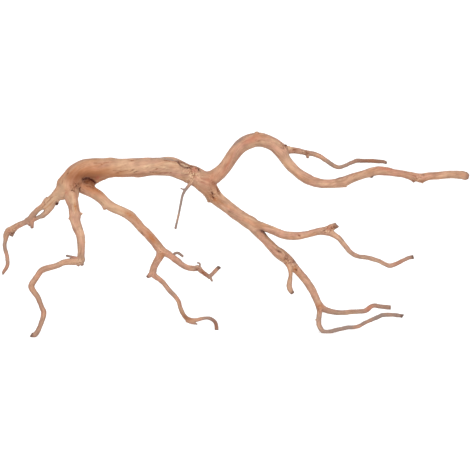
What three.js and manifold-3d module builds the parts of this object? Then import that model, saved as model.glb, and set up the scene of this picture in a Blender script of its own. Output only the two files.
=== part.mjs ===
// A piece of bogwood: a peeled, forked shrub root that stands on three of its own tips.
// Millimetres, +Z up. The front looks along +Y, with +X to the right, and the ground is at Z = 0.
// The wood grew as one piece. It is parted at its main forks into named limbs, each a closed solid.

import * as THREE from "three";
import { mergeVertices } from "three/addons/utils/BufferGeometryUtils.js";
import Module from "manifold-3d";

const wasm = await Module();
wasm.setup();

// Driving dimensions.
const OVERALL_LENGTH = 584; // from the tip of the left root to the cut end of the long arm
const DRAWN_LENGTH = 584; // the same length in the stations below
const SHEET_LEAN_DEG = 5; // the stations are drawn as seen from slightly above, on a sheet that leans back
const DEPTH_SHIFT = 2.7; // brings the middle of the whole piece over the origin, from front to back
const FORK_GAP = 0.3; // between two limbs that meet at a fork
const OVAL = 0.05; // how far a thick limb's section departs from a circle
const OVAL_TURN = 17; // how far along a limb its oval section takes to turn by half a radian
const THIN_RADIUS = 3.2; // twigs under this radius are round
const TIP_TAPER = 0.72; // radius of a broken tip's last ring, as a share of the twig's
const TIP_DOME = 0.4; // how far a tip bulges past its last ring, as a share of the radius
const SPUR_SIDES = 6;

const WOOD = { roughness: 0.72, metalness: 0 };
const STEM_COLOUR = "#c99a7a";
const ROOT_COLOUR = "#cfa182";
const TWIG_COLOUR = "#b08d7c";

// A station is [across, up, back, radius]: across from the middle of the piece, up from the ground as seen
// on the leaning sheet, back from the trunk's own plane, and the radius of the wood there.
// A limb starts inside the limb that it grows from, and its part up to the cut belongs to that parent.

const TRUNK = [
  [-212.5, 179.5, 0, 10.5],
  [-209, 186, 0, 12],
  [-204, 193, 0, 12.2],
  [-196, 200, 0, 11.8],
  [-187.5, 204.5, 1, 12.2],
  [-179, 206, 1, 12.5],
  [-169, 206, 2, 12.4],
  [-156, 207, 2, 11.5],
  [-144, 207, 1, 10.6],
  [-131, 206.5, 0, 11.1],
  [-119, 206.5, -1, 11],
  [-106, 207.5, -1, 10.1],
  [-94, 208, 0, 9.9],
  [-81, 208, 1, 10.6],
  [-71, 206, 2, 11.1],
  [-61, 201.5, 2, 10.6],
  [-51, 196.5, 1, 11.1],
  [-41, 191, 0, 11.2],
  [-34, 185, 0, 10.4],
];

const LEFT_ROOT = [
  [-211, 184, 0, 9],
  [-219.5, 175, 2, 7],
  [-225, 169.3, 5, 6.4],
  [-231, 163.5, 8, 7.2],
  [-235.5, 160, 10, 6.6],
  [-239, 158.5, 11, 4.6],
  [-244, 156, 13, 3.7],
  [-250, 150, 17, 3.6],
  [-255, 144.5, 20, 3.6],
  [-260, 140, 24, 3.3],
  [-266, 137, 28, 3.1],
  [-272.5, 134, 33, 3.5],
  [-279, 130, 38, 4.1],
  [-283.5, 127, 41, 4.2],
  [-286, 122.5, 43, 3.3],
  [-286.5, 117, 45, 2.6],
  [-288, 111, 47, 2.2],
  [-287.5, 105, 48, 2.2],
  [-285.5, 98, 50, 2.2],
  [-284.5, 91, 51, 2.2],
  [-284.5, 85, 52, 2.1],
  [-287, 80, 53, 1.8],
  [-291.5, 74.5, 54, 1.5],
];

// The second strand of the left root, with a slit between it and the first.
const LEFT_ROOT_STRAND = [
  [-231.5, 159, 8, 4],
  [-237, 152.3, 9.5, 3.2],
  [-241, 148, 12, 2.6],
  [-246, 145, 15, 2.4],
  [-250.5, 142.5, 18, 2.4],
  [-255, 141, 21, 2.6],
  [-260, 140, 24, 2.5],
];

const FRONT_LEG = [
  [-207.5, 186.5, -2, 11],
  [-205.5, 176.5, -6, 9.3],
  [-205.2, 168, -10, 8],
  [-202.8, 160.3, -14, 6.5],
  [-201.5, 154, -18, 6.5],
  [-200, 147, -21, 6.9],
  [-199.5, 140.3, -25, 6],
  [-196.6, 131.5, -29, 5.5],
  [-193.5, 122.8, -33, 5.2],
  [-191.9, 114, -36, 4.6],
  [-191.6, 105.3, -39, 4.2],
  [-192, 97.8, -41, 4.2],
  [-193, 90.8, -42, 4.6],
  [-200.5, 89.5, -43, 3.9],
  [-207.5, 89.5, -44, 3.5],
  [-215, 88, -45, 3.4],
  [-222.5, 84.5, -46, 3.2],
  [-230, 82.8, -48, 3.3],
  [-237.5, 80.8, -50, 3.5],
  [-242.5, 78, -51, 3.3],
  [-246.3, 72.8, -52, 3],
  [-250.5, 66.8, -53, 3],
  [-253.7, 61.5, -54, 3.4],
  [-254, 56.8, -54, 3.4],
  [-251, 51.5, -55, 3.1],
  [-247, 46, -55, 2.9],
  [-244.5, 40, -55, 2.8],
  [-242, 33, -55, 2.8],
  [-239.3, 26.8, -55, 2.8],
  [-240, 21, -55, 2.7],
  [-242, 14.7, -55, 2.6],
  [-243.8, 8.8, -55, 2.6],
  [-246, 3, -55, 2.7],
  [-248.8, -1, -55, 2.7],
  [-251.5, -2.8, -55, 2.8],
  [-254.2, -2.7, -55, 2.5],
];

const LONG_ROOT = [
  [-199, 186.5, 2, 8.5],
  [-190, 183.5, 2, 7.2],
  [-182.5, 180.3, 3, 6.6],
  [-175.4, 175.3, 4, 6.2],
  [-168.4, 168.4, 6, 6],
  [-161.8, 162, 8, 5.8],
  [-154, 157.3, 10, 5.4],
  [-145, 153.4, 12, 5.2],
  [-136.3, 149.9, 15, 5.6],
  [-129.5, 145.4, 17, 5.8],
  [-123.4, 139.4, 19, 5.3],
  [-117.3, 132.1, 21, 5.2],
  [-111, 126.2, 23, 5.5],
  [-105, 119.6, 25, 5.5],
  [-99.6, 113.1, 26, 5.2],
  [-94.6, 106.1, 28, 5.4],
  [-90.6, 100.9, 28, 5],
];

const BACK_LEG = [
  [-92.5, 102.5, 28, 5],
  [-93.9, 95.3, 29, 4.6],
  [-97.8, 88.6, 31, 4],
  [-101.3, 81.5, 33, 3.8],
  [-102.5, 75.5, 35, 3.7],
  [-99.6, 71.3, 36, 3.1],
  [-94.5, 67.8, 37, 2.7],
  [-89.5, 63.3, 38, 2.6],
  [-85, 57.5, 40, 2.5],
  [-80, 51.5, 42, 2.5],
  [-74.5, 46, 43, 2.5],
  [-70, 39.5, 44, 2.3],
  [-68, 31.5, 45, 2.3],
  [-65, 24.5, 46, 2.4],
  [-61, 19, 46, 2.5],
  [-55.5, 16, 45, 2.4],
  [-49, 16, 44, 2],
  [-42.5, 17.5, 43, 1.8],
  [-36, 18.5, 43, 1.8],
  [-30, 17.5, 42, 1.8],
  [-25.5, 14, 42, 1.9],
  [-23.5, 9, 42, 1.9],
  [-23, 2.6, 42, 1.9],
];

const HOOKED_TWIG = [
  [-91, 102.5, 28, 5],
  [-85.5, 99.8, 26, 4.3],
  [-82, 97.8, 24, 4],
  [-78.6, 95.2, 22, 3.6],
  [-72.5, 90.3, 18, 3.2],
  [-66, 85, 14, 2.9],
  [-59, 82, 10, 2.6],
  [-51, 81, 5, 2.9],
  [-46, 81.5, 2, 3.1],
  [-42, 77.5, 0, 2.6],
  [-37.5, 74, -2, 2.3],
  [-31.5, 70, -4, 2.2],
];

const HANGING_TWIG = [
  [-50, 206, -5, 1.8],
  [-50.5, 198, -9.5, 2],
  [-54, 189.5, -9.5, 2],
  [-59, 183, -8, 1.8],
  [-63, 178, -8, 1.6],
  [-65.5, 172, -9, 1.4],
  [-67, 165, -10, 1.4],
  [-68.5, 157.5, -11, 1.3],
  [-70, 149.5, -12, 1.3],
  [-72, 141, -13, 1.3],
  [-74.5, 130.5, -14, 1.4],
];

const ARCHED_BRANCH = [
  [-39, 189.5, 0, 10.5],
  [-30.5, 193.5, 1, 9.2],
  [-22.5, 198, 3, 8.2],
  [-15, 204.5, 5, 7.5],
  [-8.7, 213, 7, 7.1],
  [-3.3, 221.2, 10, 7],
  [1.9, 228.7, 12, 7.1],
  [7.9, 234.6, 14, 7.5],
  [15, 238.9, 15, 7.9],
  [22.5, 241.2, 16, 8.3],
  [30, 241.7, 16, 8.6],
  [37.8, 240.5, 16, 8.4],
  [45.3, 237.6, 15, 8.2],
  [51.8, 233.5, 14, 8.1],
  [57.3, 228.2, 14, 8],
  [61, 221, 13, 6.6],
];

const UPPER_TWIG = [
  [57.5, 230, 15, 5.5],
  [65, 229, 18, 4.3],
  [71, 228.2, 21, 3.4],
  [77.5, 227.7, 24, 3.1],
  [85, 226.2, 27, 3],
  [92, 224.7, 30, 2.9],
  [99, 223.5, 32, 2.6],
  [106, 220.5, 34, 2.5],
  [112.5, 216, 36, 2.4],
  [119, 211.5, 38, 2.3],
  [125, 208.2, 40, 2.2],
  [131, 207.2, 42, 2.1],
  [139, 210, 44, 2],
  [146, 213.2, 46, 2.1],
  [152, 215.2, 47, 2.4],
  [159, 215.2, 48, 2.3],
  [169, 215, 50, 2.3],
  [179, 214.5, 52, 2.1],
  [186, 214, 53, 1.9],
  [189.5, 213, 54, 1.5],
];

const LONG_ARM = [
  [55.5, 229.5, 14, 7.6],
  [61, 221, 13, 6.8],
  [66, 213, 12, 6.1],
  [72.4, 206.3, 10, 6],
  [79.8, 199.5, 8, 5.9],
  [88, 194, 5, 6],
  [97.5, 189.5, 3, 5.7],
  [107.5, 187, 0, 5.1],
  [117.5, 186.5, -2, 5.1],
  [127.5, 187.5, -4, 5.3],
  [136.2, 189.2, -6, 5.9],
  [144, 192.5, -8, 5],
  [152.5, 196, -10, 4.8],
  [161, 198.5, -12, 4.7],
  [170, 201, -14, 5.2],
  [179, 203, -15, 5.2],
  [189, 202.5, -16, 5.1],
  [199, 200, -17, 4.2],
  [209, 199, -18, 3.9],
  [217.5, 197, -19, 4.4],
  [225, 195, -20, 4.7],
  [233, 194, -21, 5.2],
  [241, 196, -22, 4.3],
  [251, 197, -24, 3.9],
  [262.5, 198, -26, 4],
  [274, 198.5, -28, 4.2],
  [284, 197.5, -30, 4.5],
  [291, 195.5, -31, 4.4],
];

const LOWER_BRANCH = [
  [-37.5, 186, 0, 10.5],
  [-31, 179.5, -1, 9.4],
  [-25.5, 172.5, -2, 8],
  [-18.5, 166, -4, 7.1],
  [-11, 160.4, -5, 6.5],
  [-3.8, 155, -7, 6.2],
  [4.8, 148.6, -8, 6.2],
  [13.7, 142, -10, 6.6],
  [21, 136.8, -11, 7.1],
  [27.5, 132, -12, 6.8],
];

const SIDE_BRANCH = [
  [18, 139.5, -11, 6.4],
  [26, 135.5, -13, 5.8],
  [35, 132.8, -16, 5.2],
  [43.8, 129.7, -19, 4.8],
  [52.5, 126.1, -22, 4.7],
  [61, 122.8, -25, 4.8],
  [70, 121.5, -28, 4.6],
  [79, 121.5, -31, 4.3],
  [87.5, 123, -33, 4],
  [96, 125, -35, 3.9],
  [104, 127, -36, 4],
  [110.5, 127.5, -37, 4.6],
  [116.5, 126.5, -38, 4.5],
  [122.5, 123, -40, 3.4],
  [129, 118, -42, 2.8],
  [135, 111, -44, 2.7],
  [140.5, 104, -46, 2.6],
  [146, 99, -48, 2.6],
  [154, 96, -50, 2.5],
  [162.5, 95, -51, 2.4],
  [171, 93, -52, 2.3],
  [179.5, 90.5, -53, 2.3],
  [187, 86.5, -54, 2.4],
  [193.5, 84.5, -55, 2.5],
  [201, 87, -56, 2.4],
  [209, 91, -57, 2.2],
  [215.5, 94, -58, 2.1],
  [222, 95.5, -59, 2],
];

const DROOPING_BRANCH = [
  [19, 138.5, -10, 6.6],
  [25.5, 131, -10, 6.8],
  [32.5, 122.8, -9, 5.8],
  [39.2, 115.4, -8, 5.1],
  [45.3, 108.5, -7, 5.3],
  [51.2, 102, -6, 6],
  [57.8, 97.4, -6, 6.4],
  [64.3, 92.8, -5, 6.3],
  [70.4, 85.7, -4, 5.5],
  [76.3, 79.2, -3, 4.4],
  [82.5, 72.1, -2, 4.1],
  [88.8, 64.1, -2, 4.2],
  [94.2, 56.3, -1, 4.1],
  [98.6, 48.6, -1, 4],
  [102.1, 41.1, 0, 4],
  [105, 33.7, 0, 3.9],
  [106.7, 29, 0, 3.4],
];

const LOW_TWIG = [
  [104.5, 37, 0, 3.5],
  [109.5, 31, 2, 3.7],
  [116, 28, 5, 3.2],
  [126, 26, 9, 2.9],
  [135, 25.5, 13, 2.8],
  [144, 26.5, 16, 2.7],
  [152.5, 27, 19, 2.6],
  [161, 27.5, 22, 2.6],
  [166, 29.5, 24, 2.8],
  [170, 33, 26, 2.7],
  [175, 34.5, 28, 2.7],
  [181, 33.5, 30, 2.5],
  [189, 32.5, 33, 2.5],
  [194.5, 32, 35, 2.4],
];

const RIGHT_LEG = [
  [106, 31.5, 0, 3.8],
  [104.7, 24.8, -1, 3],
  [103.5, 18, -2, 2.9],
  [103.6, 11.5, -3, 2.8],
  [106, 5.9, -3, 2.6],
  [111, 1.9, -3, 2.5],
  [117.5, 1.7, -4, 2.4],
  [125, 3.7, -5, 2.3],
  [133, 5.5, -7, 2.3],
  [141, 7, -9, 2.2],
  [150, 7.6, -12, 2.1],
  [157, 10, -14, 2.1],
  [164, 14, -16, 2],
  [171, 17, -18, 2.1],
  [179, 20.5, -20, 2.1],
  [185, 23, -22, 2.1],
  [194, 23, -24, 2.1],
  [202.5, 22.5, -26, 2],
  [209, 21.5, -28, 1.9],
];

// The forks. Each limb names the limb that it grows from, and the station at which the two are parted.
// Its spurs are the broken twigs, knots, webs and splinters that stay fused to it.
const LIMBS = [
  {
    name: "trunk",
    stations: TRUNK,
    colour: STEM_COLOUR,
    sides: 14,
    spurs: {
      web_under_trunk: [
        [-192, 196, 6, 7],
        [-183, 191, 7, 7],
        [-177.5, 186.5, 7, 5.8],
      ],
      root_shoulder: [
        [-186, 198, 4, 7],
        [-176, 195.5, 4, 6],
        [-169.5, 195.5, 3, 4.2],
      ],
      crown_lip: [
        [-213, 186, -1, 5],
        [-221.5, 188.5, -1, 1.6],
      ],
      crotch_web: [
        [-213, 179, -2, 6],
        [-213.5, 172, -3, 3.2],
      ],
      torn_rim: [
        [-62, 204, -1, 6],
        [-52, 203, -1, 6],
        [-45.5, 200.5, -2, 4.5],
      ],
      broken_root: [
        [-35, 176, -1, 6],
        [-33, 164.5, -1, 1.8],
      ],
    },
    hollows: [
      { at: [-184.5, 192.5, -8], size: [8, 4.2, 9], turn: -18 },
      { at: [-176, 188, -3], size: [5, 3, 6], turn: -40 },
    ],
    crevice: [
      [-73, 214, -7, 1.4],
      [-67, 209, -9.5, 2],
      [-59, 206.5, -8, 2],
      [-50, 206.5, -6, 1.2],
    ],
  },
  {
    name: "left_root",
    from: "trunk",
    cut: 2,
    stations: LEFT_ROOT,
    colour: ROOT_COLOUR,
    sides: 10,
    spurs: {
      second_strand: LEFT_ROOT_STRAND,
      pointed_stub: [
        [-254.5, 141.5, 20, 2.6],
        [-254, 131.5, 18, 1.6],
      ],
      ragged_edge: [
        [-259, 139.5, 23, 2.5],
        [-257.5, 135.5, 21, 1.3],
      ],
      dark_stub: [
        [-278, 128.5, 37, 2.9],
        [-279.5, 121.5, 36, 1.8],
      ],
      splinter: [
        [-240, 163, 10, 1.8],
        [-235, 170, 9, 0.9],
      ],
    },
  },
  {
    name: "front_leg",
    from: "trunk",
    cut: 3,
    stations: FRONT_LEG,
    colour: ROOT_COLOUR,
    sides: 10,
    spurs: {
      right_bump: [
        [-196, 149.5, -20, 2.4],
        [-191, 149, -20, 1],
      ],
      left_bump: [
        [-203, 143, -23, 2.4],
        [-207.5, 143.5, -23, 1],
      ],
      elbow_twig: [
        [-195, 93, -42, 2.6],
        [-202, 95.8, -44, 1.8],
        [-210, 96.8, -47, 1.2],
      ],
      elbow_point: [
        [-190.5, 92, -42, 2.6],
        [-190.5, 84.8, -42, 1.5],
      ],
      elbow_nub: [
        [-195, 89, -42, 2],
        [-195.5, 84, -43, 1],
      ],
    },
  },
  {
    name: "long_root",
    from: "trunk",
    cut: 4,
    stations: LONG_ROOT,
    colour: ROOT_COLOUR,
    sides: 10,
    spurs: {
      lower_nub: [
        [-163, 160, 7, 3.5],
        [-163, 155.7, 6, 1.6],
      ],
    },
  },
  {
    name: "back_leg",
    from: "long_root",
    cut: 2,
    stations: BACK_LEG,
    colour: TWIG_COLOUR,
    sides: 8,
    spurs: {
      elbow_stub: [
        [-103, 75, 35, 2.8],
        [-108.5, 70.5, 34, 1.3],
      ],
      low_stub: [
        [-57, 15.8, 45, 1.9],
        [-49, 11.5, 43, 1.2],
      ],
    },
  },
  {
    name: "hooked_twig",
    from: "long_root",
    cut: 2,
    stations: HOOKED_TWIG,
    colour: TWIG_COLOUR,
    sides: 8,
    spurs: {
      turned_up_end: [
        [-32, 70.5, -4, 2.2],
        [-20, 82.5, -9, 2.1],
      ],
      end_point: [
        [-31.5, 71, -4, 1.5],
        [-28.5, 65, -5, 0.9],
      ],
      first_hook: [
        [-78.3, 96.6, 22, 1.6],
        [-75.5, 100.3, 20, 1.3],
        [-71, 101.3, 18, 1.2],
        [-65, 97, 15, 1.1],
      ],
      second_hook: [
        [-45, 82.5, 1, 1.6],
        [-42.5, 86, 0, 1],
        [-43.5, 89, 0, 0.9],
        [-46.5, 90, 0, 0.9],
      ],
    },
  },
  {
    name: "hanging_twig",
    from: "trunk",
    cut: 3,
    stations: HANGING_TWIG,
    colour: TWIG_COLOUR,
    sides: 7,
    spurs: {
      thorn: [
        [-62.5, 179, -8, 1.2],
        [-67.5, 181, -9, 0.8],
      ],
    },
  },
  {
    name: "arched_branch",
    from: "trunk",
    cut: 2,
    stations: ARCHED_BRANCH,
    colour: STEM_COLOUR,
    sides: 12,
    spurs: {
      crest_nub: [
        [27, 244, 14, 5],
        [28.5, 251.3, 13, 1.9],
      ],
      fork_knot: [
        [59.5, 230, 13, 4.5],
        [62.5, 235, 12, 1.8],
      ],
    },
  },
  {
    name: "upper_twig",
    from: "arched_branch",
    cut: 2,
    stations: UPPER_TWIG,
    colour: TWIG_COLOUR,
    sides: 8,
    spurs: {
      lower_nub: [
        [91, 224, 29, 1.8],
        [90.5, 219.5, 28, 1.2],
      ],
    },
  },
  {
    name: "long_arm",
    from: "arched_branch",
    cut: 2,
    stations: LONG_ARM,
    colour: STEM_COLOUR,
    sides: 10,
    spurs: {
      first_nub: [
        [168, 198, -14, 3],
        [171.5, 195, -15, 1.4],
      ],
      pointed_nub: [
        [221, 194, -20, 3.4],
        [223.5, 189.5, -20, 1.2],
      ],
      blunt_nub: [
        [233, 192, -21, 4],
        [235, 189.5, -22, 2.4],
      ],
    },
  },
  {
    name: "lower_branch",
    from: "trunk",
    cut: 3,
    stations: LOWER_BRANCH,
    colour: STEM_COLOUR,
    sides: 12,
    spurs: {},
  },
  {
    name: "side_branch",
    from: "lower_branch",
    cut: 3,
    stations: SIDE_BRANCH,
    colour: STEM_COLOUR,
    sides: 10,
    spurs: {
      broken_side_shoot: [
        [113, 128, -37, 4],
        [120, 131.7, -39, 3.9],
        [126.3, 135, -41, 3.2],
      ],
    },
  },
  {
    name: "drooping_branch",
    from: "lower_branch",
    cut: 3,
    stations: DROOPING_BRANCH,
    colour: STEM_COLOUR,
    sides: 10,
    spurs: {
      hanging_spur: [
        [66, 89, -6, 4],
        [69.5, 80, -9, 2.6],
        [70, 72.5, -12, 2.1],
        [69, 65, -15, 2.5],
        [68.5, 59, -18, 3],
        [70, 53.5, -20, 2.8],
        [72.5, 50, -21, 1.8],
      ],
      grey_bump: [
        [71.5, 84.5, -6, 4],
        [74, 90.3, -8, 1.6],
      ],
    },
  },
  {
    name: "low_twig",
    from: "drooping_branch",
    cut: 2,
    stations: LOW_TWIG,
    colour: TWIG_COLOUR,
    sides: 8,
    spurs: {},
  },
  {
    name: "right_leg",
    from: "drooping_branch",
    cut: 2,
    stations: RIGHT_LEG,
    colour: TWIG_COLOUR,
    sides: 8,
    spurs: {},
  },
];

const SCALE = OVERALL_LENGTH / DRAWN_LENGTH;
const LEAN = THREE.MathUtils.degToRad(SHEET_LEAN_DEG);

// A place on the leaning sheet as a point in the part's frame.
function place([across, up, back]) {
  const height = (up - back * Math.sin(LEAN)) / Math.cos(LEAN);
  return new THREE.Vector3(across, back + DEPTH_SHIFT, height).multiplyScalar(SCALE);
}

// One ring at each station: its centre, the direction of growth, two directions across the wood, and radius.
// The first direction across is carried from ring to ring with as little turning as it can have.
function ringsAlong(stations) {
  const curve = new THREE.CatmullRomCurve3(stations.map(place), false, "centripetal");
  const one = new THREE.Vector3(0, -1, 0);
  let distance = 0;
  return stations.map((station, i) => {
    const centre = place(station);
    const along = curve.getTangent(i / (stations.length - 1));
    one.addScaledVector(along, -one.dot(along)).normalize();
    if (i > 0) distance += centre.distanceTo(place(stations[i - 1]));
    const other = new THREE.Vector3().crossVectors(along, one);
    return { centre, along, one: one.clone(), other, radius: station[3] * SCALE, distance };
  });
}

// How far the section reaches at an angle around it.
function reachOf(ring, angle, sides) {
  const flatFace = (1 + Math.cos(Math.PI / sides)) / 2;
  const oval = ring.radius > THIN_RADIUS ? OVAL : 0;
  return (ring.radius / flatFace) * (1 + oval * Math.cos(2 * angle + ring.distance / OVAL_TURN));
}

// A closed tube through the rings: a unit cylinder whose vertices are carried out to them.
function tube(rings, sides, hasTip) {
  const last = rings.length - 1;
  const geometry = new THREE.CylinderGeometry(1, 1, 1, sides, last);
  const position = geometry.getAttribute("position");
  const unit = new THREE.Vector3();
  for (let i = 0; i < position.count; i++) {
    unit.fromBufferAttribute(position, i);
    const row = Math.round((0.5 - unit.y) * last);
    const ring = rings[row];
    const isTip = hasTip && row === last;
    const isCapCentre = Math.hypot(unit.x, unit.z) < 0.5;
    const reach = reachOf(ring, Math.atan2(unit.z, unit.x), sides) * (isTip ? TIP_TAPER : 1);
    const point = ring.centre.clone();
    point.addScaledVector(ring.one, unit.x * reach).addScaledVector(ring.other, unit.z * reach);
    if (isTip && isCapCentre) point.addScaledVector(ring.along, TIP_DOME * ring.radius);
    position.setXYZ(i, point.x, point.y, point.z);
  }
  return solidOf(geometry);
}

// A closed geometry as a solid that can be joined and cut.
function solidOf(geometry) {
  geometry.deleteAttribute("normal");
  geometry.deleteAttribute("uv");
  const merged = mergeVertices(geometry);
  const vertProperties = merged.getAttribute("position").array;
  const triVerts = new Uint32Array(merged.index.array);
  return new wasm.Manifold(new wasm.Mesh({ numProp: 3, vertProperties, triVerts }));
}

function geometryOf(solid) {
  const { vertProperties, triVerts } = solid.getMesh();
  const geometry = new THREE.BufferGeometry();
  geometry.setAttribute("position", new THREE.BufferAttribute(vertProperties, 3));
  geometry.setIndex(new THREE.BufferAttribute(triVerts, 1));
  return geometry;
}

// The start of a limb, up to its cut, which stays with the limb that it grows from.
function collar(limb) {
  return tube(ringsAlong(limb.stations).slice(0, limb.cut + 1), limb.sides, false);
}

// The rest of a limb, whose first ring stands off its collar by the fork gap.
// Where other limbs grow from its end, their collars close it.
function shaft(limb) {
  const rings = ringsAlong(limb.stations).slice(limb.cut ?? 0);
  if (limb.from) rings[0].centre.addScaledVector(rings[0].along, FORK_GAP);
  const endsInFork = LIMBS.some((other) => other.from === limb.name);
  return tube(rings, limb.sides, !endsInFork);
}

// A pit where a root has rotted out: an ellipsoid, turned in the plane of the sheet.
function hollow({ at, size, turn }) {
  const [across, up, back] = size;
  const toPlace = new THREE.Matrix4().compose(
    place(at),
    new THREE.Quaternion().setFromAxisAngle(new THREE.Vector3(0, 1, 0), THREE.MathUtils.degToRad(-turn)),
    new THREE.Vector3(across, back, up).multiplyScalar(SCALE),
  );
  return solidOf(new THREE.SphereGeometry(1, 12, 8).applyMatrix4(toPlace));
}

// Everything under the ground: the three standing tips are worn flat there.
function ground() {
  const wide = 2 * OVERALL_LENGTH;
  return solidOf(new THREE.BoxGeometry(wide, wide, wide).translate(0, 0, -wide / 2));
}

function limbSolid(limb) {
  let solid = shaft(limb);
  for (const child of LIMBS.filter((other) => other.from === limb.name)) solid = solid.add(collar(child));
  for (const spur of Object.values(limb.spurs)) solid = solid.add(tube(ringsAlong(spur), SPUR_SIDES, true));
  for (const pit of limb.hollows ?? []) solid = solid.subtract(hollow(pit));
  if (limb.crevice) solid = solid.subtract(tube(ringsAlong(limb.crevice), SPUR_SIDES, true));
  return solid.subtract(ground());
}

const bogwood = new THREE.Group();
for (const limb of LIMBS) {
  const material = new THREE.MeshStandardMaterial({ color: limb.colour, ...WOOD });
  const mesh = new THREE.Mesh(geometryOf(limbSolid(limb)), material);
  mesh.name = limb.name;
  bogwood.add(mesh);
}

export default bogwood;
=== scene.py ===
# %% [markdown]
# # A piece of bogwood
#
# The object is one peeled, forked shrub root, of the kind that is sand-blown and sold for aquariums. It
# stands on three of its own tips. There is no paint, no bark and no seam on it, so its look comes from three
# things: how the limbs run into each other at the forks, how the fibres twist along each limb, and how the
# bare wood changes colour from pale tan to rose and orange, and to grey on the thin twigs.
#
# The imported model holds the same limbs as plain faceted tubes. It is loaded first, as the frame that every
# piece below has to fit.

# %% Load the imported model
import math

import bpy
import numpy as np
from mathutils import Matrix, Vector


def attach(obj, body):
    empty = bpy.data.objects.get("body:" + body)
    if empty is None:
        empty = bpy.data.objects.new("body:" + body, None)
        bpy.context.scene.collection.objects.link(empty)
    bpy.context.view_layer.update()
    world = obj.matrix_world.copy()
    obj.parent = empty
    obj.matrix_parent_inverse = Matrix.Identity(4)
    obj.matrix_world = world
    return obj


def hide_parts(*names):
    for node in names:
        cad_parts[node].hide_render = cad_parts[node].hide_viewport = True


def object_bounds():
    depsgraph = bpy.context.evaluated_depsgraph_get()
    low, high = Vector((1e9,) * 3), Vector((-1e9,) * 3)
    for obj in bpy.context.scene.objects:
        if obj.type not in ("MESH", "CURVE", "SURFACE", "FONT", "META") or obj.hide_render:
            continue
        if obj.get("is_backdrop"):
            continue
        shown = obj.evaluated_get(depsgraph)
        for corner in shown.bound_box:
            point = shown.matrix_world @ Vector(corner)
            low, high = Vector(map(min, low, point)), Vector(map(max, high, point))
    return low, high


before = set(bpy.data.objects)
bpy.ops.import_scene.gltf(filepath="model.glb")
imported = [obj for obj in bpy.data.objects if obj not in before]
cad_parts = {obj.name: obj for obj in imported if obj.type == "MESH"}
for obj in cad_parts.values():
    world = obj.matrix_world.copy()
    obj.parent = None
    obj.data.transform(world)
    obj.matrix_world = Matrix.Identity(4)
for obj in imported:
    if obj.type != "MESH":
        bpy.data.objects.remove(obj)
cad_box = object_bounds()
print("solid limbs:", len(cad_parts), "box:", cad_box)

# %% [markdown]
# ## Where the wood runs
#
# A root has no straight edge to measure, so its shape is written down as a draughtsman would: on a sheet
# that leans back by the camera's five degrees, each limb is a row of stations. A station is how far across it
# is, how far up, how far back, and the wood's radius there, all in millimetres. The rows are given one by
# one.
# The solid model has rows of its own. About a third of these stations are the same as there, and the others
# were moved afterwards, by up to about three millimetres, to follow the outline more closely.
#
# Each limb also says which limb it grows from, and at which of its stations it becomes a piece of its own.

# %% The stations of each limb
MM = 0.001
SHEET_LEAN = math.radians(5)
DEPTH_SHIFT = 2.7  # moves the whole piece back, so that the middle of its box is at zero

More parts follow.
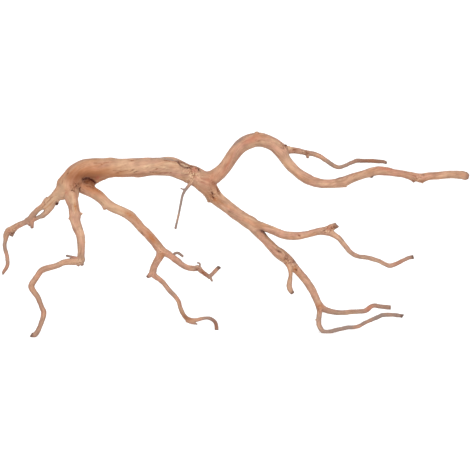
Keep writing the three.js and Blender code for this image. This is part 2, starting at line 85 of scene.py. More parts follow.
LIMBS = {
    "trunk": (None, 0, [
        (-212.5, 179.5, 0, 10.5), (-209, 186, 0, 12), (-203.4, 193.3, 0, 12.1), (-195.6, 201, 0, 12.4),
        (-187.5, 205, 1, 12.6), (-179, 206, 1, 12.4), (-169, 206, 2, 12.4), (-156, 207, 2, 11.5),
        (-144, 207, 1, 10.7), (-131, 206.5, 0, 11.3), (-119, 206.8, -1, 11.4), (-106, 207.9, -1, 10.8),
        (-94, 208.3, 0, 10.8), (-81, 208.5, 1, 11.4), (-71, 205, 2, 10.9), (-61, 200.2, 2, 10.4),
        (-51, 196.5, 1, 11.1), (-41, 191, 0, 11.2), (-34, 185, 0, 10.4),
    ]),
    "left_root": ("trunk", 2, [
        (-211, 184, 0, 9), (-219.5, 175.4, 2, 7.1), (-225.2, 169.4, 5, 6.5), (-230.6, 163.4, 8, 6.4),
        (-234.8, 159.4, 10, 5.3), (-239.8, 158.4, 11, 3.7), (-245, 155.6, 13, 3.1), (-250.4, 150.6, 17, 3.0),
        (-255, 144.5, 20, 3.6), (-260, 140, 24, 3.3), (-266, 137, 28, 3.1), (-272.5, 134, 33, 3.5),
        (-279, 130, 38, 4.1), (-284, 127.2, 41, 4.2), (-286.9, 122.5, 43, 3.4), (-287.6, 117, 45, 2.6),
        (-288.7, 111, 47, 2.2), (-288.3, 105, 48, 2.2), (-286.3, 98, 50, 2.2), (-285.3, 91, 51, 2.2),
        (-285.2, 85, 52, 2.1), (-287.6, 80, 53, 1.8), (-291.8, 74.6, 54, 1.5),
    ]),
    "front_leg": ("trunk", 3, [
        (-207.5, 186.5, -2, 11), (-204.7, 176.5, -6, 9.3), (-204.2, 168, -10, 7.8), (-201.8, 160.3, -14, 6.5),
        (-200.6, 154, -18, 6.5), (-199.8, 147, -21, 6.8), (-199.3, 140.3, -25, 6), (-196.4, 131.5, -29, 5.6),
        (-193, 122.8, -33, 5.2), (-191.7, 114, -36, 4.6), (-191.6, 105.3, -39, 4.2),
        (-191.9, 97.8, -41, 4.3), (-192.8, 90.6, -42, 4.7), (-200.5, 89.3, -43, 4.1),
        (-207.5, 89.3, -44, 3.7),
        (-215, 88, -45, 3.5), (-222.5, 84.5, -46, 3.3), (-230, 82.5, -48, 3.4), (-237.2, 80.3, -50, 3.6),
        (-242, 77.5, -51, 3.3), (-245.7, 72.4, -52, 3.1), (-249.9, 66.4, -53, 3.2), (-253.1, 61.3, -54, 3.5),
        (-253.5, 56.8, -54, 3.4), (-250, 51.5, -55, 3.1), (-246, 46, -55, 2.9), (-243.4, 40, -55, 2.8),
        (-240.9, 33, -55, 2.8), (-238.2, 26.8, -55, 2.8), (-238.9, 21, -55, 2.7), (-241, 14.7, -55, 2.6),
        (-243, 8.8, -55, 2.6), (-245.6, 3, -55, 2.7), (-248.6, -0.8, -55, 2.7), (-251.2, -2.2, -55, 2.7),
        (-253.8, -1.8, -55, 2.4),
    ]),
    "long_root": ("trunk", 4, [
        (-199, 186.5, 2, 8.5), (-190.8, 182.6, 2, 7.5), (-183.3, 179.2, 3, 7.2), (-175.7, 174.6, 4, 6.6),
        (-167.7, 169.3, 6, 6.1), (-161.2, 162.9, 8, 5.8), (-153.8, 158, 10, 5.5), (-145, 154, 12, 5.4),
        (-136.5, 149.8, 15, 5.7), (-129.7, 145.3, 17, 5.9), (-123.6, 139.2, 19, 5.5),
        (-117.6, 131.9, 21, 5.4), (-111.3, 126, 23, 5.7), (-105.3, 119.4, 25, 5.6), (-99.9, 113, 26, 5.4),
        (-94.6, 106.1, 28, 5.4), (-90.6, 100.9, 28, 5),
    ]),
    "back_leg": ("long_root", 2, [
        (-92.5, 102.5, 28, 5), (-94.4, 95.3, 29, 4.6), (-98.3, 88.6, 31, 4.1), (-101.7, 81.5, 33, 3.9),
        (-102.8, 75.3, 35, 3.8), (-100, 71, 36, 3.1), (-94.8, 67.4, 37, 2.7), (-89.8, 62.9, 38, 2.6),
        (-85.4, 57.1, 40, 2.5), (-80.5, 51.1, 42, 2.5), (-75, 45.6, 43, 2.5), (-70.5, 39.2, 44, 2.3),
        (-68.4, 31.3, 45, 2.3), (-65.3, 24.2, 46, 2.4), (-61.2, 18.7, 46, 2.5), (-55.5, 16, 45, 2.4),
        (-49, 16, 44, 2), (-42.5, 17.5, 43, 1.8), (-36, 18.5, 43, 1.8), (-30, 17.5, 42, 1.8),
        (-25.5, 14, 42, 1.9), (-23.5, 9, 42, 1.9), (-23, 2.6, 42, 1.9),
    ]),
    "hooked_twig": ("long_root", 2, [
        (-91, 102.5, 28, 5), (-85.5, 99.8, 26, 4.3), (-82, 97.8, 24, 4), (-78.6, 95.2, 22, 3.8),
        (-72.3, 90.5, 18, 3.5), (-65.8, 85.2, 14, 3.2), (-59, 82, 10, 3), (-51, 81, 5, 3.1),
        (-46, 81.5, 2, 3.1), (-42, 77.5, 0, 2.6), (-37.5, 74, -2, 2.3), (-31.5, 70, -4, 2.2),
    ]),
    "hanging_twig": ("trunk", 3, [
        (-49, 207, -2, 1.4), (-50, 199, -8.2, 1.5), (-54, 189.7, -9.2, 1.8), (-58.7, 183.2, -8, 1.6),
        (-62.7, 178, -8, 1.4), (-65.5, 172, -9, 1.2), (-67.1, 165, -10, 1.1), (-68.6, 157.5, -11, 1.0),
        (-70.1, 149.5, -12, 1.0), (-72, 141, -13, 1.0), (-74.5, 130.6, -14, 1.1),
    ]),
    "arched_branch": ("trunk", 2, [
        (-39, 189.5, 0, 10.5), (-30.5, 193.5, 1, 9.2), (-22.5, 198.2, 3, 8.4), (-15, 204.6, 5, 7.9),
        (-8.6, 213, 7, 7.5), (-3.2, 221.2, 10, 7.5), (2, 228.6, 12, 7.6), (8, 234.4, 14, 8.1),
        (15, 238.8, 15, 8.4), (22.5, 241.2, 16, 8.5), (30, 241.9, 16, 8.5), (37.8, 240.6, 16, 8.3),
        (45.3, 237.6, 15, 8.2), (51.8, 233.5, 14, 8.1), (57.3, 228.2, 14, 8), (61, 221, 13, 6.6),
    ]),
    "upper_twig": ("arched_branch", 2, [
        (57.5, 230.3, 15, 5.6), (65, 229.4, 18, 4.7), (71, 228.7, 21, 3.8), (77.5, 228.1, 24, 3.3),
        (85, 226.7, 27, 3.1), (92, 225, 30, 3), (99, 224, 32, 2.7), (106, 221.2, 34, 2.5),
        (112.8, 216.8, 36, 2.4), (119.3, 212.2, 38, 2.3), (125.2, 208.8, 40, 2.2), (131, 207.6, 42, 2.1),
        (139, 210.3, 44, 2), (146, 213.5, 46, 2.1), (152, 215.7, 47, 2.4), (159, 215.7, 48, 2.2),
        (169, 215.6, 50, 2.2), (179, 215.1, 52, 2.1), (186, 214.5, 53, 1.9), (189.5, 213.3, 54, 1.5),
    ]),
    "long_arm": ("arched_branch", 2, [
        (55.5, 229.5, 14, 7.6), (60.5, 221, 13, 6.6), (65.8, 213, 12, 6.1), (72.4, 206.3, 10, 6),
        (79.8, 199.5, 8, 5.9), (88, 194, 5, 6), (97.5, 189.5, 3, 5.7), (107.5, 187, 0, 5.1),
        (117.5, 186.5, -2, 5.1), (127.5, 187.5, -4, 5.3), (136.2, 189.2, -6, 5.9), (144, 192.8, -8, 5.3),
        (152.5, 196, -10, 5.1), (161, 198.5, -12, 4.9), (170, 201, -14, 5.2), (179, 203, -15, 5.2),
        (189, 202.5, -16, 5.1), (199, 200.4, -17, 4.3), (209, 199.3, -18, 4.1), (217.5, 197.2, -19, 4.6),
        (225, 195.2, -20, 4.8), (233, 194.2, -21, 5.2), (241, 196, -22, 4.4), (251, 196.8, -24, 4.1),
        (262.5, 197.8, -26, 4.2), (274, 198.3, -28, 4.3), (283, 197.4, -30, 4.6), (288, 196.2, -31, 4.4),
        (291, 195.3, -31, 3),
    ]),
    "lower_branch": ("trunk", 3, [
        (-37.5, 186, 0, 10.5), (-31, 179.2, -1, 9.6), (-25.8, 172.1, -2, 8.5), (-19, 165.4, -4, 7.8),
        (-11.7, 159.6, -5, 7.4), (-4.6, 154, -7, 7.1), (4, 147.8, -8, 7), (13.3, 141.5, -10, 7.1),
        (21, 136.8, -11, 7.1), (27.5, 132, -12, 6.8),
    ]),
    "side_branch": ("lower_branch", 3, [
        (18, 139.5, -11, 6.4), (26, 135.5, -13, 5.8), (35, 132.8, -16, 5.2), (43.8, 129.7, -19, 4.8),
        (52.5, 126.2, -22, 4.8), (61, 123.1, -25, 4.9), (70, 121.8, -28, 4.8), (79, 121.7, -31, 4.5),
        (87.5, 123, -33, 4), (96, 125, -35, 3.9), (104, 127, -36, 4), (110.5, 127.5, -37, 4.6),
        (116.5, 126.5, -38, 4.5), (122.5, 123.3, -40, 3.4), (129.4, 118.4, -42, 2.9),
        (135.5, 111.5, -44, 2.8),
        (141, 104.5, -46, 2.7), (146.3, 99.4, -48, 2.6), (154, 96, -50, 2.5), (162.5, 95, -51, 2.4),
        (171, 93, -52, 2.3), (179.5, 90.5, -53, 2.3), (187, 86.5, -54, 2.4), (193.5, 84.5, -55, 2.5),
        (201, 87, -56, 2.4), (209, 91, -57, 2.2), (215.5, 94, -58, 2.1), (222, 95.5, -59, 2),
    ]),
    "drooping_branch": ("lower_branch", 3, [
        (19, 138.5, -10, 6.6), (25.5, 131, -10, 6.8), (32.5, 122.8, -9, 5.8), (39.2, 115.4, -8, 5.2),
        (45.6, 108.9, -7, 5.6), (51.6, 102.4, -6, 6.4), (58, 97.5, -6, 6.6), (64.5, 92.8, -5, 6.3),
        (70.8, 85.9, -4, 5.7), (76.8, 79.4, -3, 4.8), (83, 72.3, -2, 4.3), (89.3, 64.3, -2, 4.3),
        (94.8, 56.5, -1, 4.3), (99, 48.7, -1, 4.1), (102.3, 41.1, 0, 4), (105, 33.7, 0, 3.9),
        (106.7, 29, 0, 3.4),
    ]),
    "low_twig": ("drooping_branch", 2, [
        (104.5, 37, 0, 3.5), (109.5, 31, 2, 3.7), (116, 28, 5, 3.2), (126, 26, 9, 2.9),
        (135, 25.5, 13, 2.8), (144, 26.5, 16, 2.7), (152.5, 27, 19, 2.6), (161, 27.5, 22, 2.6),
        (166, 29.5, 24, 2.8), (170, 33, 26, 2.7), (175, 34.5, 28, 2.7), (181, 33.5, 30, 2.5),
        (189, 32.5, 33, 2.5), (194.5, 32, 35, 2.4),
    ]),
    "right_leg": ("drooping_branch", 2, [
        (106, 31.5, 0, 3.8), (105.6, 24.8, -1, 3), (104.7, 18, -2, 2.9), (104.7, 11.7, -3, 2.8),
        (106.8, 6.1, -3, 2.6), (111, 1.9, -3, 2.5), (117.5, 1.7, -4, 2.4), (125, 3.7, -5, 2.3),
        (133, 5.5, -7, 2.3), (141, 7, -9, 2.2), (150, 7.6, -12, 2.1), (157, 10, -14, 2.1),
        (164, 14, -16, 2), (171, 17, -18, 2.1), (179, 20.5, -20, 2.1), (185, 23, -22, 2.1),
        (194, 23, -24, 2.1), (202.5, 22.5, -26, 2), (209, 21.5, -28, 1.9),
    ]),
}
print("stations:", sum(len(stations) for _, _, stations in LIMBS.values()))

# %% [markdown]
# ## What stays fused to the limbs
#
# Between the forks the wood carries what broke or grew there: stubs of snapped twigs, knots, small hooks,
# and the webs that brace a fork. They are shorter rows of stations, each with the limb that it belongs to.

# %% The stations of each spur
SPURS = {
    "web_under_trunk": ("trunk", [(-192, 196, 6, 7), (-183, 191, 7, 7), (-177, 186.2, 7, 5.9)]),
    "pocket_lip": ("trunk", [
        (-181, 194, 3, 6), (-176, 191.3, 3, 5), (-170.5, 195.1, 3, 4.8), (-163, 197.6, 3, 4.6),
        (-154, 200, 3, 4.2),
    ]),
    "root_shoulder": ("trunk", [(-186, 198, 4, 7), (-176, 195.5, 4, 6), (-169.5, 195.5, 3, 4.2)]),
    "crown_lip": ("trunk", [(-213, 186, -1, 5), (-221.5, 188.5, -1, 1.6)]),
    "crotch_web": ("trunk", [(-210, 178, -2, 6), (-213.7, 172.4, -1, 4.8), (-218.5, 170.8, 0, 4.2)]),
    "torn_rim": ("trunk", [(-62, 204, -1, 6), (-52, 203, -1, 6), (-45.5, 200.9, -2, 4.8)]),
    "broken_root": ("trunk", [(-33.5, 176, -1, 5.6), (-32.4, 168.5, -1, 3.2), (-32.2, 164, -1, 1.9)]),
    "second_strand": ("left_root", [
        (-231, 158.3, 8, 4.4), (-236, 151.4, 9.5, 3.5), (-240.8, 147, 12, 2.8), (-246, 144.6, 15, 2.1),
        (-250.5, 142.3, 18, 2.1), (-255, 140.6, 21, 2.4), (-260, 140, 24, 2.5),
    ]),
    "pointed_stub": ("left_root", [(-254.5, 141.5, 20, 2.6), (-254, 131.5, 18, 1.6)]),
    "ragged_edge": ("left_root", [(-259, 139.2, 23, 2.8), (-256.6, 136.2, 21, 2.5)]),
    "dark_stub": ("left_root", [(-278, 128.5, 37, 2.9), (-280, 121.2, 36, 1.8)]),
    "strand_stub": ("left_root", [(-228, 165, 5, 3.5), (-223, 162.6, 4, 1.9), (-222, 161.4, 4, 1.5)]),
    "splinter": ("left_root", [(-241, 161, 10, 1.2), (-238.8, 165.6, 9, 0.9), (-235, 169.9, 8, 0.8)]),
    "right_bump": ("front_leg", [(-196, 149.5, -20, 2.4), (-191, 149, -20, 1)]),
    "left_bump": ("front_leg", [(-203, 143, -23, 2.4), (-207.5, 143.5, -23, 1)]),
    "elbow_twig": ("front_leg", [(-195, 92.6, -42, 2.6), (-202, 95, -44, 1.5), (-210, 97, -47, 0.9)]),
    "elbow_point": ("front_leg", [(-190.5, 92, -42, 2.6), (-190.5, 84.8, -42, 1.5)]),
    "elbow_nub": ("front_leg", [(-195, 89, -42, 2), (-195.5, 84, -43, 1)]),
    "root_nub": ("long_root", [(-163, 160, 7, 3.5), (-163, 155.7, 6, 1.6)]),
    "elbow_stub": ("back_leg", [(-103, 75, 35, 3.2), (-107, 72, 34, 2.4), (-110, 70.3, 34, 1.3)]),
    "low_stub": ("back_leg", [(-60, 15, 45, 1.7), (-53, 12.3, 44, 1.3), (-47.6, 11.2, 43, 0.6)]),
    "turned_up_end": ("hooked_twig", [(-32, 70.5, -4, 2.2), (-20, 82.5, -9, 2.1)]),
    "end_point": ("hooked_twig", [(-31.5, 71, -4, 1.5), (-28.5, 65, -5, 0.9)]),
    "first_hook": ("hooked_twig", [
        (-78.3, 96, 22, 1.6), (-75.5, 99.3, 20, 1.3), (-71, 100.3, 18, 1.2), (-65, 96, 15, 1.1),
    ]),
    "second_hook": ("hooked_twig", [
        (-46, 82, 1, 1.5), (-44, 84.8, 0, 0.8), (-44.6, 87.3, 0, 0.7), (-47.3, 88, 0, 0.7),
    ]),
    "thorn": ("hanging_twig", [(-62.5, 179.6, -8, 0.9), (-65.5, 180, -8.5, 0.5), (-68, 181.2, -9, 0.3)]),
    "crest_nub": ("arched_branch", [(26, 244, 14, 5), (28, 250.6, 13, 3), (29, 251.4, 13, 1.8)]),
    "fork_knot": ("arched_branch", [(59.5, 230, 12, 4.8), (63, 234.6, 10, 2.0)]),
    "twig_nub": ("upper_twig", [(91.3, 223, 29, 2.3), (90.8, 220, 28, 1.5)]),
    "arm_corner": ("long_arm", [(131, 188.5, -5, 5.2), (138, 187, -6, 4.6)]),
    "first_nub": ("long_arm", [(168, 198, -14, 3), (171.5, 195, -15, 1.4)]),
    "pointed_nub": ("long_arm", [(221, 194, -20, 3.4), (223.5, 189.5, -20, 1.2)]),
    "blunt_nub": ("long_arm", [(233, 192, -21, 4), (235, 189.5, -22, 2.4)]),
    "side_shoot": ("side_branch", [(113, 128, -37, 4), (120, 131.7, -39, 3.9), (126.3, 135, -41, 3.2)]),
    "hanging_spur": ("drooping_branch", [
        (66, 89, -6, 4), (69, 80, -9, 2.7), (69.4, 72.5, -12, 2.1), (68.3, 65, -15, 2.5), (67.8, 59, -18, 3),
        (69.4, 53.5, -20, 2.8), (72.2, 50, -21, 1.9),
    ]),
    "ankle_nub": ("right_leg", [(104.5, 16.5, -2, 2.4), (101.6, 15.3, -3, 1.9)]),
    "droop_nub": ("drooping_branch", [(90, 64.3, -2, 3.4), (93.6, 65.3, -2, 1.6)]),
    "grey_bump": ("drooping_branch", [(71.5, 84.5, -6, 4), (74, 90.3, -8, 1.6)]),
}
print("spurs:", len(SPURS))

# %% [markdown]
# ## A smooth centre line
#
# A root bends, it has no corners, so a smooth curve is drawn through each row of stations. A Catmull-Rom
# curve is the simple choice: it passes through every station, and the radius can ride along with it as a
# fourth coordinate. At each point the line also carries a small frame: which way the wood grows, which way
# faces the viewer, and the direction across both. The fibres are laid out in that frame later on. Two limbs
# leave the trunk's left end backwards, so their fibres are counted the other way.

# %% Centre lines with their frames
from types import SimpleNamespace

SAMPLES_PER_SPAN = 5
RIM = 0.42  # in mm
TOWARDS_VIEWER = np.array([0.0, -1.0, 0.0])
GROWS_TO_CROWN = {"left_root", "front_leg"}


def placed(stations):
    """Stations on the sheet as x, y, z and radius in mm: y is back and z is (up - back sin lean) / cos lean.
    The stations were read to the last full shadow of an edge, so the radius gets the faint rim back."""
    across, up, back, radius = np.array(stations, float).T
    height = (up - back * math.sin(SHEET_LEAN)) / math.cos(SHEET_LEAN)
    return np.stack([across, back + DEPTH_SHIFT, height, radius + RIM], 1)


def catmull_rom(p):
    """The cubic between each two stations. Its slope at a station is half the step between the station's
    neighbours."""
    p = np.vstack([2 * p[0] - p[1], p, 2 * p[-1] - p[-2]])
    t = (np.arange(SAMPLES_PER_SPAN) / SAMPLES_PER_SPAN)[None, :, None]
    a, b, c, d = (p[i : len(p) - 3 + i, None, :] for i in range(4))
    square, cube = 2 * a - 5 * b + 4 * c - d, 3 * b - 3 * c + d - a
    curve = (2 * b + (c - a) * t + square * t**2 + cube * t**3) / 2
    return np.vstack([curve.reshape(-1, p.shape[1]), p[-2]])


def unit(v):
    return v / np.linalg.norm(v, axis=-1, keepdims=True)


def make_line(name, node, stations, cut=0, to_crown=False):
    """A centre line: points, radii, distances along it, and its frame. The direction that faces the viewer
    is the viewer's own direction less its part along the wood, and the third is square to both."""
    curve = catmull_rom(placed(stations))
    points, radius = curve[:, :3], curve[:, 3]
    along = unit(np.gradient(points, axis=0))
    grain = -along if to_crown else along
    facing = unit(TOWARDS_VIEWER - (grain @ TOWARDS_VIEWER)[:, None] * grain)
    steps = np.linalg.norm(np.diff(points, axis=0), axis=1)
    distance = np.concatenate([[0], np.cumsum(steps)])
    return SimpleNamespace(
        name=name, node=node, points=points, radius=radius, distance=distance, along=along, facing=facing,
        across=np.cross(grain, facing), cut=distance[cut * SAMPLES_PER_SPAN], start=0.0,
        sense=-1.0 if to_crown else 1.0,
    )


def fibre_start(line, parent):
    """The fibres run on from the parent, so a line's count of millimetres starts at its parent's there."""
    nearest = np.linalg.norm(parent.points - line.points[0], axis=1).argmin()
    return parent.start + parent.sense * parent.distance[nearest]


lines = {}
for name, (parent, cut, stations) in LIMBS.items():
    lines[name] = make_line(name, name, stations, cut, name in GROWS_TO_CROWN)
    if parent:
        lines[name].start = fibre_start(lines[name], lines[parent])
for name, (limb, stations) in SPURS.items():
    lines[name] = make_line(name, limb, stations)
    lines[name].start = fibre_start(lines[name], lines[limb])
total_length = sum(line.distance[-1] for line in lines.values())
print("centre lines:", len(lines), "of", round(total_length), "mm in all")

# %% [markdown]
# ## Rough limbs, then one skin
#
# Each limb is first a plain tube: a circle carried along its centre line, with round ends. Some fifty tubes
# that cross each other are not yet one piece of wood. A voxel remesh gives them one closed skin, as if they
# had been dipped in wax. It was chosen over boolean joins because it copes with any crossing, and because
# the even little quads that it leaves are what the shaping after it needs.

# %% A circle carried along a line
ROUGH_SIDES = 20
CAP_ANGLES = np.radians([35.0, 65.0, 85.0])


def rough_tube(line):
    """Rings of radius r along the line, then rings of radius r cos a, r sin a past each end. Returns the
    points, the quads between the rings, and a fan of triangles at each pole."""
    first, last = line.radius[0], line.radius[-1]
    before = line.points[0] - line.along[0] * (first * np.sin(CAP_ANGLES[::-1]))[:, None]
    after = line.points[-1] + line.along[-1] * (last * np.sin(CAP_ANGLES))[:, None]
    centres = np.vstack([before, line.points, after])
    radii = np.concatenate([first * np.cos(CAP_ANGLES[::-1]), line.radius, last * np.cos(CAP_ANGLES)])
    row = np.clip(np.arange(len(centres)) - len(before), 0, len(line.points) - 1)
    turn = np.arange(ROUGH_SIDES) * 2 * math.pi / ROUGH_SIDES
    one, other = line.facing[row, None, :], np.cross(line.along, line.facing)[row, None, :]
    circle = np.cos(turn)[:, None] * one + np.sin(turn)[:, None] * other
    rings = centres[:, None, :] + radii[:, None, None] * circle
    poles = np.stack([line.points[0] - line.along[0] * first, line.points[-1] + line.along[-1] * last])
    i, j = np.meshgrid(np.arange(len(centres) - 1), np.arange(ROUGH_SIDES), indexing="ij")
    k = (j + 1) % ROUGH_SIDES
    ring, next_ring = i * ROUGH_SIDES, (i + 1) * ROUGH_SIDES
    quads = np.stack([ring + j, ring + k, next_ring + k, next_ring + j], -1)
    side = np.arange(ROUGH_SIDES)
    far_side = (side + 1) % ROUGH_SIDES
    bottom = np.full_like(side, len(centres) * ROUGH_SIDES)
    end = (len(centres) - 1) * ROUGH_SIDES
    fan_below = np.stack([far_side, side, bottom], 1)
    fan_above = np.stack([end + side, end + far_side, bottom + 1], 1)
    return np.vstack([rings.reshape(-1, 3), poles]), quads.reshape(-1, 4), np.vstack([fan_below, fan_above])


def rough_object():
    """All the tubes in one mesh, in metres."""
    points, faces, count = [], [], 0
    for line in lines.values():
        ring_points, quads, fans = rough_tube(line)
        points.append(ring_points)
        faces += (quads + count).tolist() + (fans + count).tolist()
        count += len(ring_points)
    mesh = bpy.data.meshes.new("rough_limbs")
    mesh.from_pydata(np.vstack(points) * MM, [], faces)
    rough = bpy.data.objects.new("rough_limbs", mesh)
    bpy.context.collection.objects.link(rough)
    return rough


# %% One closed skin
VOXEL = 0.62  # in mm, fine enough for the thinnest hook


def fused_skin(rough):
    """The remeshed skin's points in mm and its quads. The rough tubes are deleted."""
    remesh = rough.modifiers.new("one skin", "REMESH")
    remesh.mode = "VOXEL"
    remesh.voxel_size = VOXEL * MM
    skin = rough.evaluated_get(bpy.context.evaluated_depsgraph_get()).to_mesh()
    points = np.empty(len(skin.vertices) * 3)
    skin.vertices.foreach_get("co", points)
    quads = np.empty(len(skin.loops), int)
    skin.loops.foreach_get("vertex_index", quads)
    sides = len(skin.loops) / len(skin.polygons)
    bpy.data.objects.remove(rough)
    print("skin:", len(points) // 3, "points,", len(quads) // 4, "quads,", sides, "sides each")
    return points.reshape(-1, 3) / MM, quads.reshape(-1, 4)


skin, quads = fused_skin(rough_object())

# %% [markdown]
# ## How far it is to the wood
#
# The wax skin is only near the right shape. Every point of it is now moved onto a surface that can be worked
# out exactly: for each limb, the distance to its centre line less the radius there. Where two limbs meet,
# the two distances are merged smoothly, which fills the fork with a small web as living wood does. A limb
# that ends in the open isn't round at its end: it snapped, so it is cut by a slanting plane with a worn rim.

# %% Signed distances
random = np.random.default_rng(23)
SNAP_SLANT = 0.22  # the spread of the slant, sideways for each step along
SNAP_REACH = 0.22  # how far past the last station the plane is, in radii
WORN_RIM = 0.3  # how much of the rim is rounded, in radii
TINY = 1e-6
for line in lines.values():
    slant = random.normal(0, SNAP_SLANT, 2)
    line.snap = unit(line.along[-1] + slant[0] * line.facing[-1] + slant[1] * line.across[-1])
    line.low = (line.points - line.radius[:, None]).min(0)
    line.high = (line.points + line.radius[:, None]).max(0)


def to_line(line, p):
    """For the points p: distance to the nearer of the two segments at the nearest station, less the radius.
    Past the last station it is the larger of the distance to the side and to the plane of the snap, rounded
    where the two meet. Also returns which way is out, the distance along, the radius, the way off the axis
    and the number of the segment."""
    apart = (line.points**2).sum(1) - 2 * p @ line.points.T
    nearest = apart.argmin(1)
    out = None
    for first in (np.maximum(nearest - 1, 0), np.minimum(nearest, len(line.points) - 2)):
        span = line.points[first + 1] - line.points[first]
        t = np.clip(((p - line.points[first]) * span).sum(1) / (span**2).sum(1), 0, 1)
        off = p - line.points[first] - t[:, None] * span
        far = np.linalg.norm(off, axis=1)
        radius = line.radius[first] * (1 - t) + line.radius[first + 1] * t
        way = line.distance[first] * (1 - t) + line.distance[first + 1] * t
        if out is None:
            out = [far - radius, off, far, radius, way, first]
        else:
            closer = far - radius < out[0]
            for i, new in enumerate((far - radius, off, far, radius, way, first)):
                out[i][closer] = new[closer]
    d, off, far, radius, way, first = out
    normal = off / np.maximum(far, TINY)[:, None]
    past = off @ line.along[-1]
    at_end = (way > line.distance[-1] - TINY) & (past > 0)
    if at_end.any():
        off_end, radius_end, past = off[at_end], radius[at_end], past[at_end]
        beside = off_end - past[:, None] * line.along[-1]
        beside_far = np.linalg.norm(beside, axis=1)
        side, end = beside_far - radius_end, off_end @ line.snap - SNAP_REACH * radius_end
        rim = WORN_RIM * radius_end
        h = np.clip(0.5 + 0.5 * (end - side) / rim, 0, 1)
        d[at_end] = side + h * (end - side) + rim * h * (1 - h)
        to_side = beside / np.maximum(beside_far, TINY)[:, None]
        normal[at_end] = unit((1 - h)[:, None] * to_side + h[:, None] * line.snap)
    return d, normal, way, radius, off, first


FORK_BLEND = 0.1  # k as a share of the radius
FORK_BLEND_RANGE = (0.25, 1.2)  # the least and the most k, in mm
REACH = 6.0  # a line is looked at for points up to this far outside its box, in mm


def to_wood(p):
    """For the points p: the smooth minimum of all distances, -k log(sum exp(-d / k)), and which way is out,
    the mean of each line's own way out with the same weights."""
    found = []
    closest = np.full(len(p), np.inf)
    thick = np.ones(len(p))
    for line in lines.values():
        mine = np.flatnonzero(((p > line.low - REACH) & (p < line.high + REACH)).all(1))
        d, normal, _, radius, _, _ = to_line(line, p[mine])
        found.append((mine, d, normal))
        nearer = d < closest[mine]
        closest[mine[nearer]] = d[nearer]
        thick[mine[nearer]] = radius[nearer]
    k = np.clip(FORK_BLEND * thick, *FORK_BLEND_RANGE)
    total, outward = np.zeros(len(p)), np.zeros((len(p), 3))
    for mine, d, normal in found:
        share = np.exp((closest[mine] - d) / k[mine])
        total[mine] += share
        outward[mine] += share[:, None] * normal
    return closest - k * np.log(total), outward / total[:, None]


# %% Move the skin onto the wood
# In a fork the mean way out is shorter than one, so a step is divided by its square, but never by less than
# the least square.
LEAST_SQUARE = 0.3
PASSES = 3
for _ in range(PASSES):
    d, outward = to_wood(skin)
    skin -= (d / np.maximum((outward**2).sum(1), LEAST_SQUARE))[:, None] * outward
left_over = np.abs(to_wood(skin)[0]).max()
print("moved onto the wood, and at most", round(float(left_over), 3), "mm from it")

# %% [markdown]
# ## Fibre coordinates
#
# Everything on bare wood follows the fibres: ridges, streaks, cracks. So each point gets three numbers of
# its own, one along the fibres and two across, as if the limb had been pulled straight. Fibres of a root
# twist as they grow, and here they turn once in a little under half a metre. At a fork the numbers of both
# limbs are mixed.

# %% Where each point lies along and across the fibres
FIBRE_BLEND = 2.5  # in mm
TURN_LENGTH = 420.0  # in mm
ALONG_SCALE = 0.14  # shrinks the count along the fibres, so that a round pattern comes out long


def fibre_coordinates(p):
    """Along: distance along the limbs from the crown. Across: the way off the axis in the line's frame,
    turned by 2 pi along / TURN_LENGTH. Each is the mean over the nearby limbs weighted by
    exp(-distance / blend). Also returns the radius, the nearest line's number and the distance along it."""
    total = np.zeros(len(p))
    mixed = np.zeros((len(p), 4))
    best = np.full(len(p), np.inf)
    which, local = np.zeros(len(p), int), np.zeros(len(p))
    for number, line in enumerate(lines.values()):
        mine = np.flatnonzero(((p > line.low - REACH) & (p < line.high + REACH)).all(1))
        d, _, way, radius, off, first = to_line(line, p[mine])
        along = line.start + line.sense * way
        turn = 2 * math.pi * along / TURN_LENGTH
        one, other = (off * line.facing[first]).sum(1), (off * line.across[first]).sum(1)
        turned = np.cos(turn) * one - np.sin(turn) * other, np.sin(turn) * one + np.cos(turn) * other
        share = np.exp(-np.clip(d, -2 * FIBRE_BLEND, 8 * FIBRE_BLEND) / FIBRE_BLEND)
        total[mine] += share
        mixed[mine] += share[:, None] * np.stack([along, *turned, radius], 1)
        nearer = d < best[mine]
        best[mine[nearer]] = d[nearer]
        which[mine[nearer]] = number
        local[mine[nearer]] = way[nearer]
    mixed /= total[:, None]
    return mixed[:, :3], mixed[:, 3], which, local


fibre, thickness, nearest_line, distance_along = fibre_coordinates(skin)
grain = fibre * [ALONG_SCALE, 1, 1]
print("thickest", round(float(thickness.max()), 1), "mm, thinnest", round(float(thickness.min()), 1), "mm")

# %% [markdown]
# ## Relief
#
# Sand and water have worn the soft wood back between the hard fibres, so a limb isn't round: it has a few
# broad flutes, lumps where the fibres swell, and many low ridges that run with the grain. They are pushed out
# of the smooth skin by random waves. Flutes and ridges are waves in fibre coordinates, where a wave that is
# round in numbers comes out seven times longer than wide on the wood. Thin limbs also have small nicks and
# swellings, which make them look gnarled. Low relief is real geometry here and not only shading, because it
# shows in the outline of a bare limb.

# %% Waves for the relief
def waves(p, size, seed, count=28):
    """A smooth random field with a spread of about one: sum of sin(2 pi p . direction / length + phase)
    over random directions, with lengths of 0.7 to 1.4 times the size in mm."""
    draw = np.random.default_rng(seed)
    direction = unit(draw.normal(size=(count, 3)))
    length = size * draw.uniform(0.7, 1.4, count)
    phase = draw.uniform(0, 2 * math.pi, count)
    return np.sin(p @ (direction / length[:, None] * 2 * math.pi).T + phase).sum(1) * math.sqrt(2 / count)


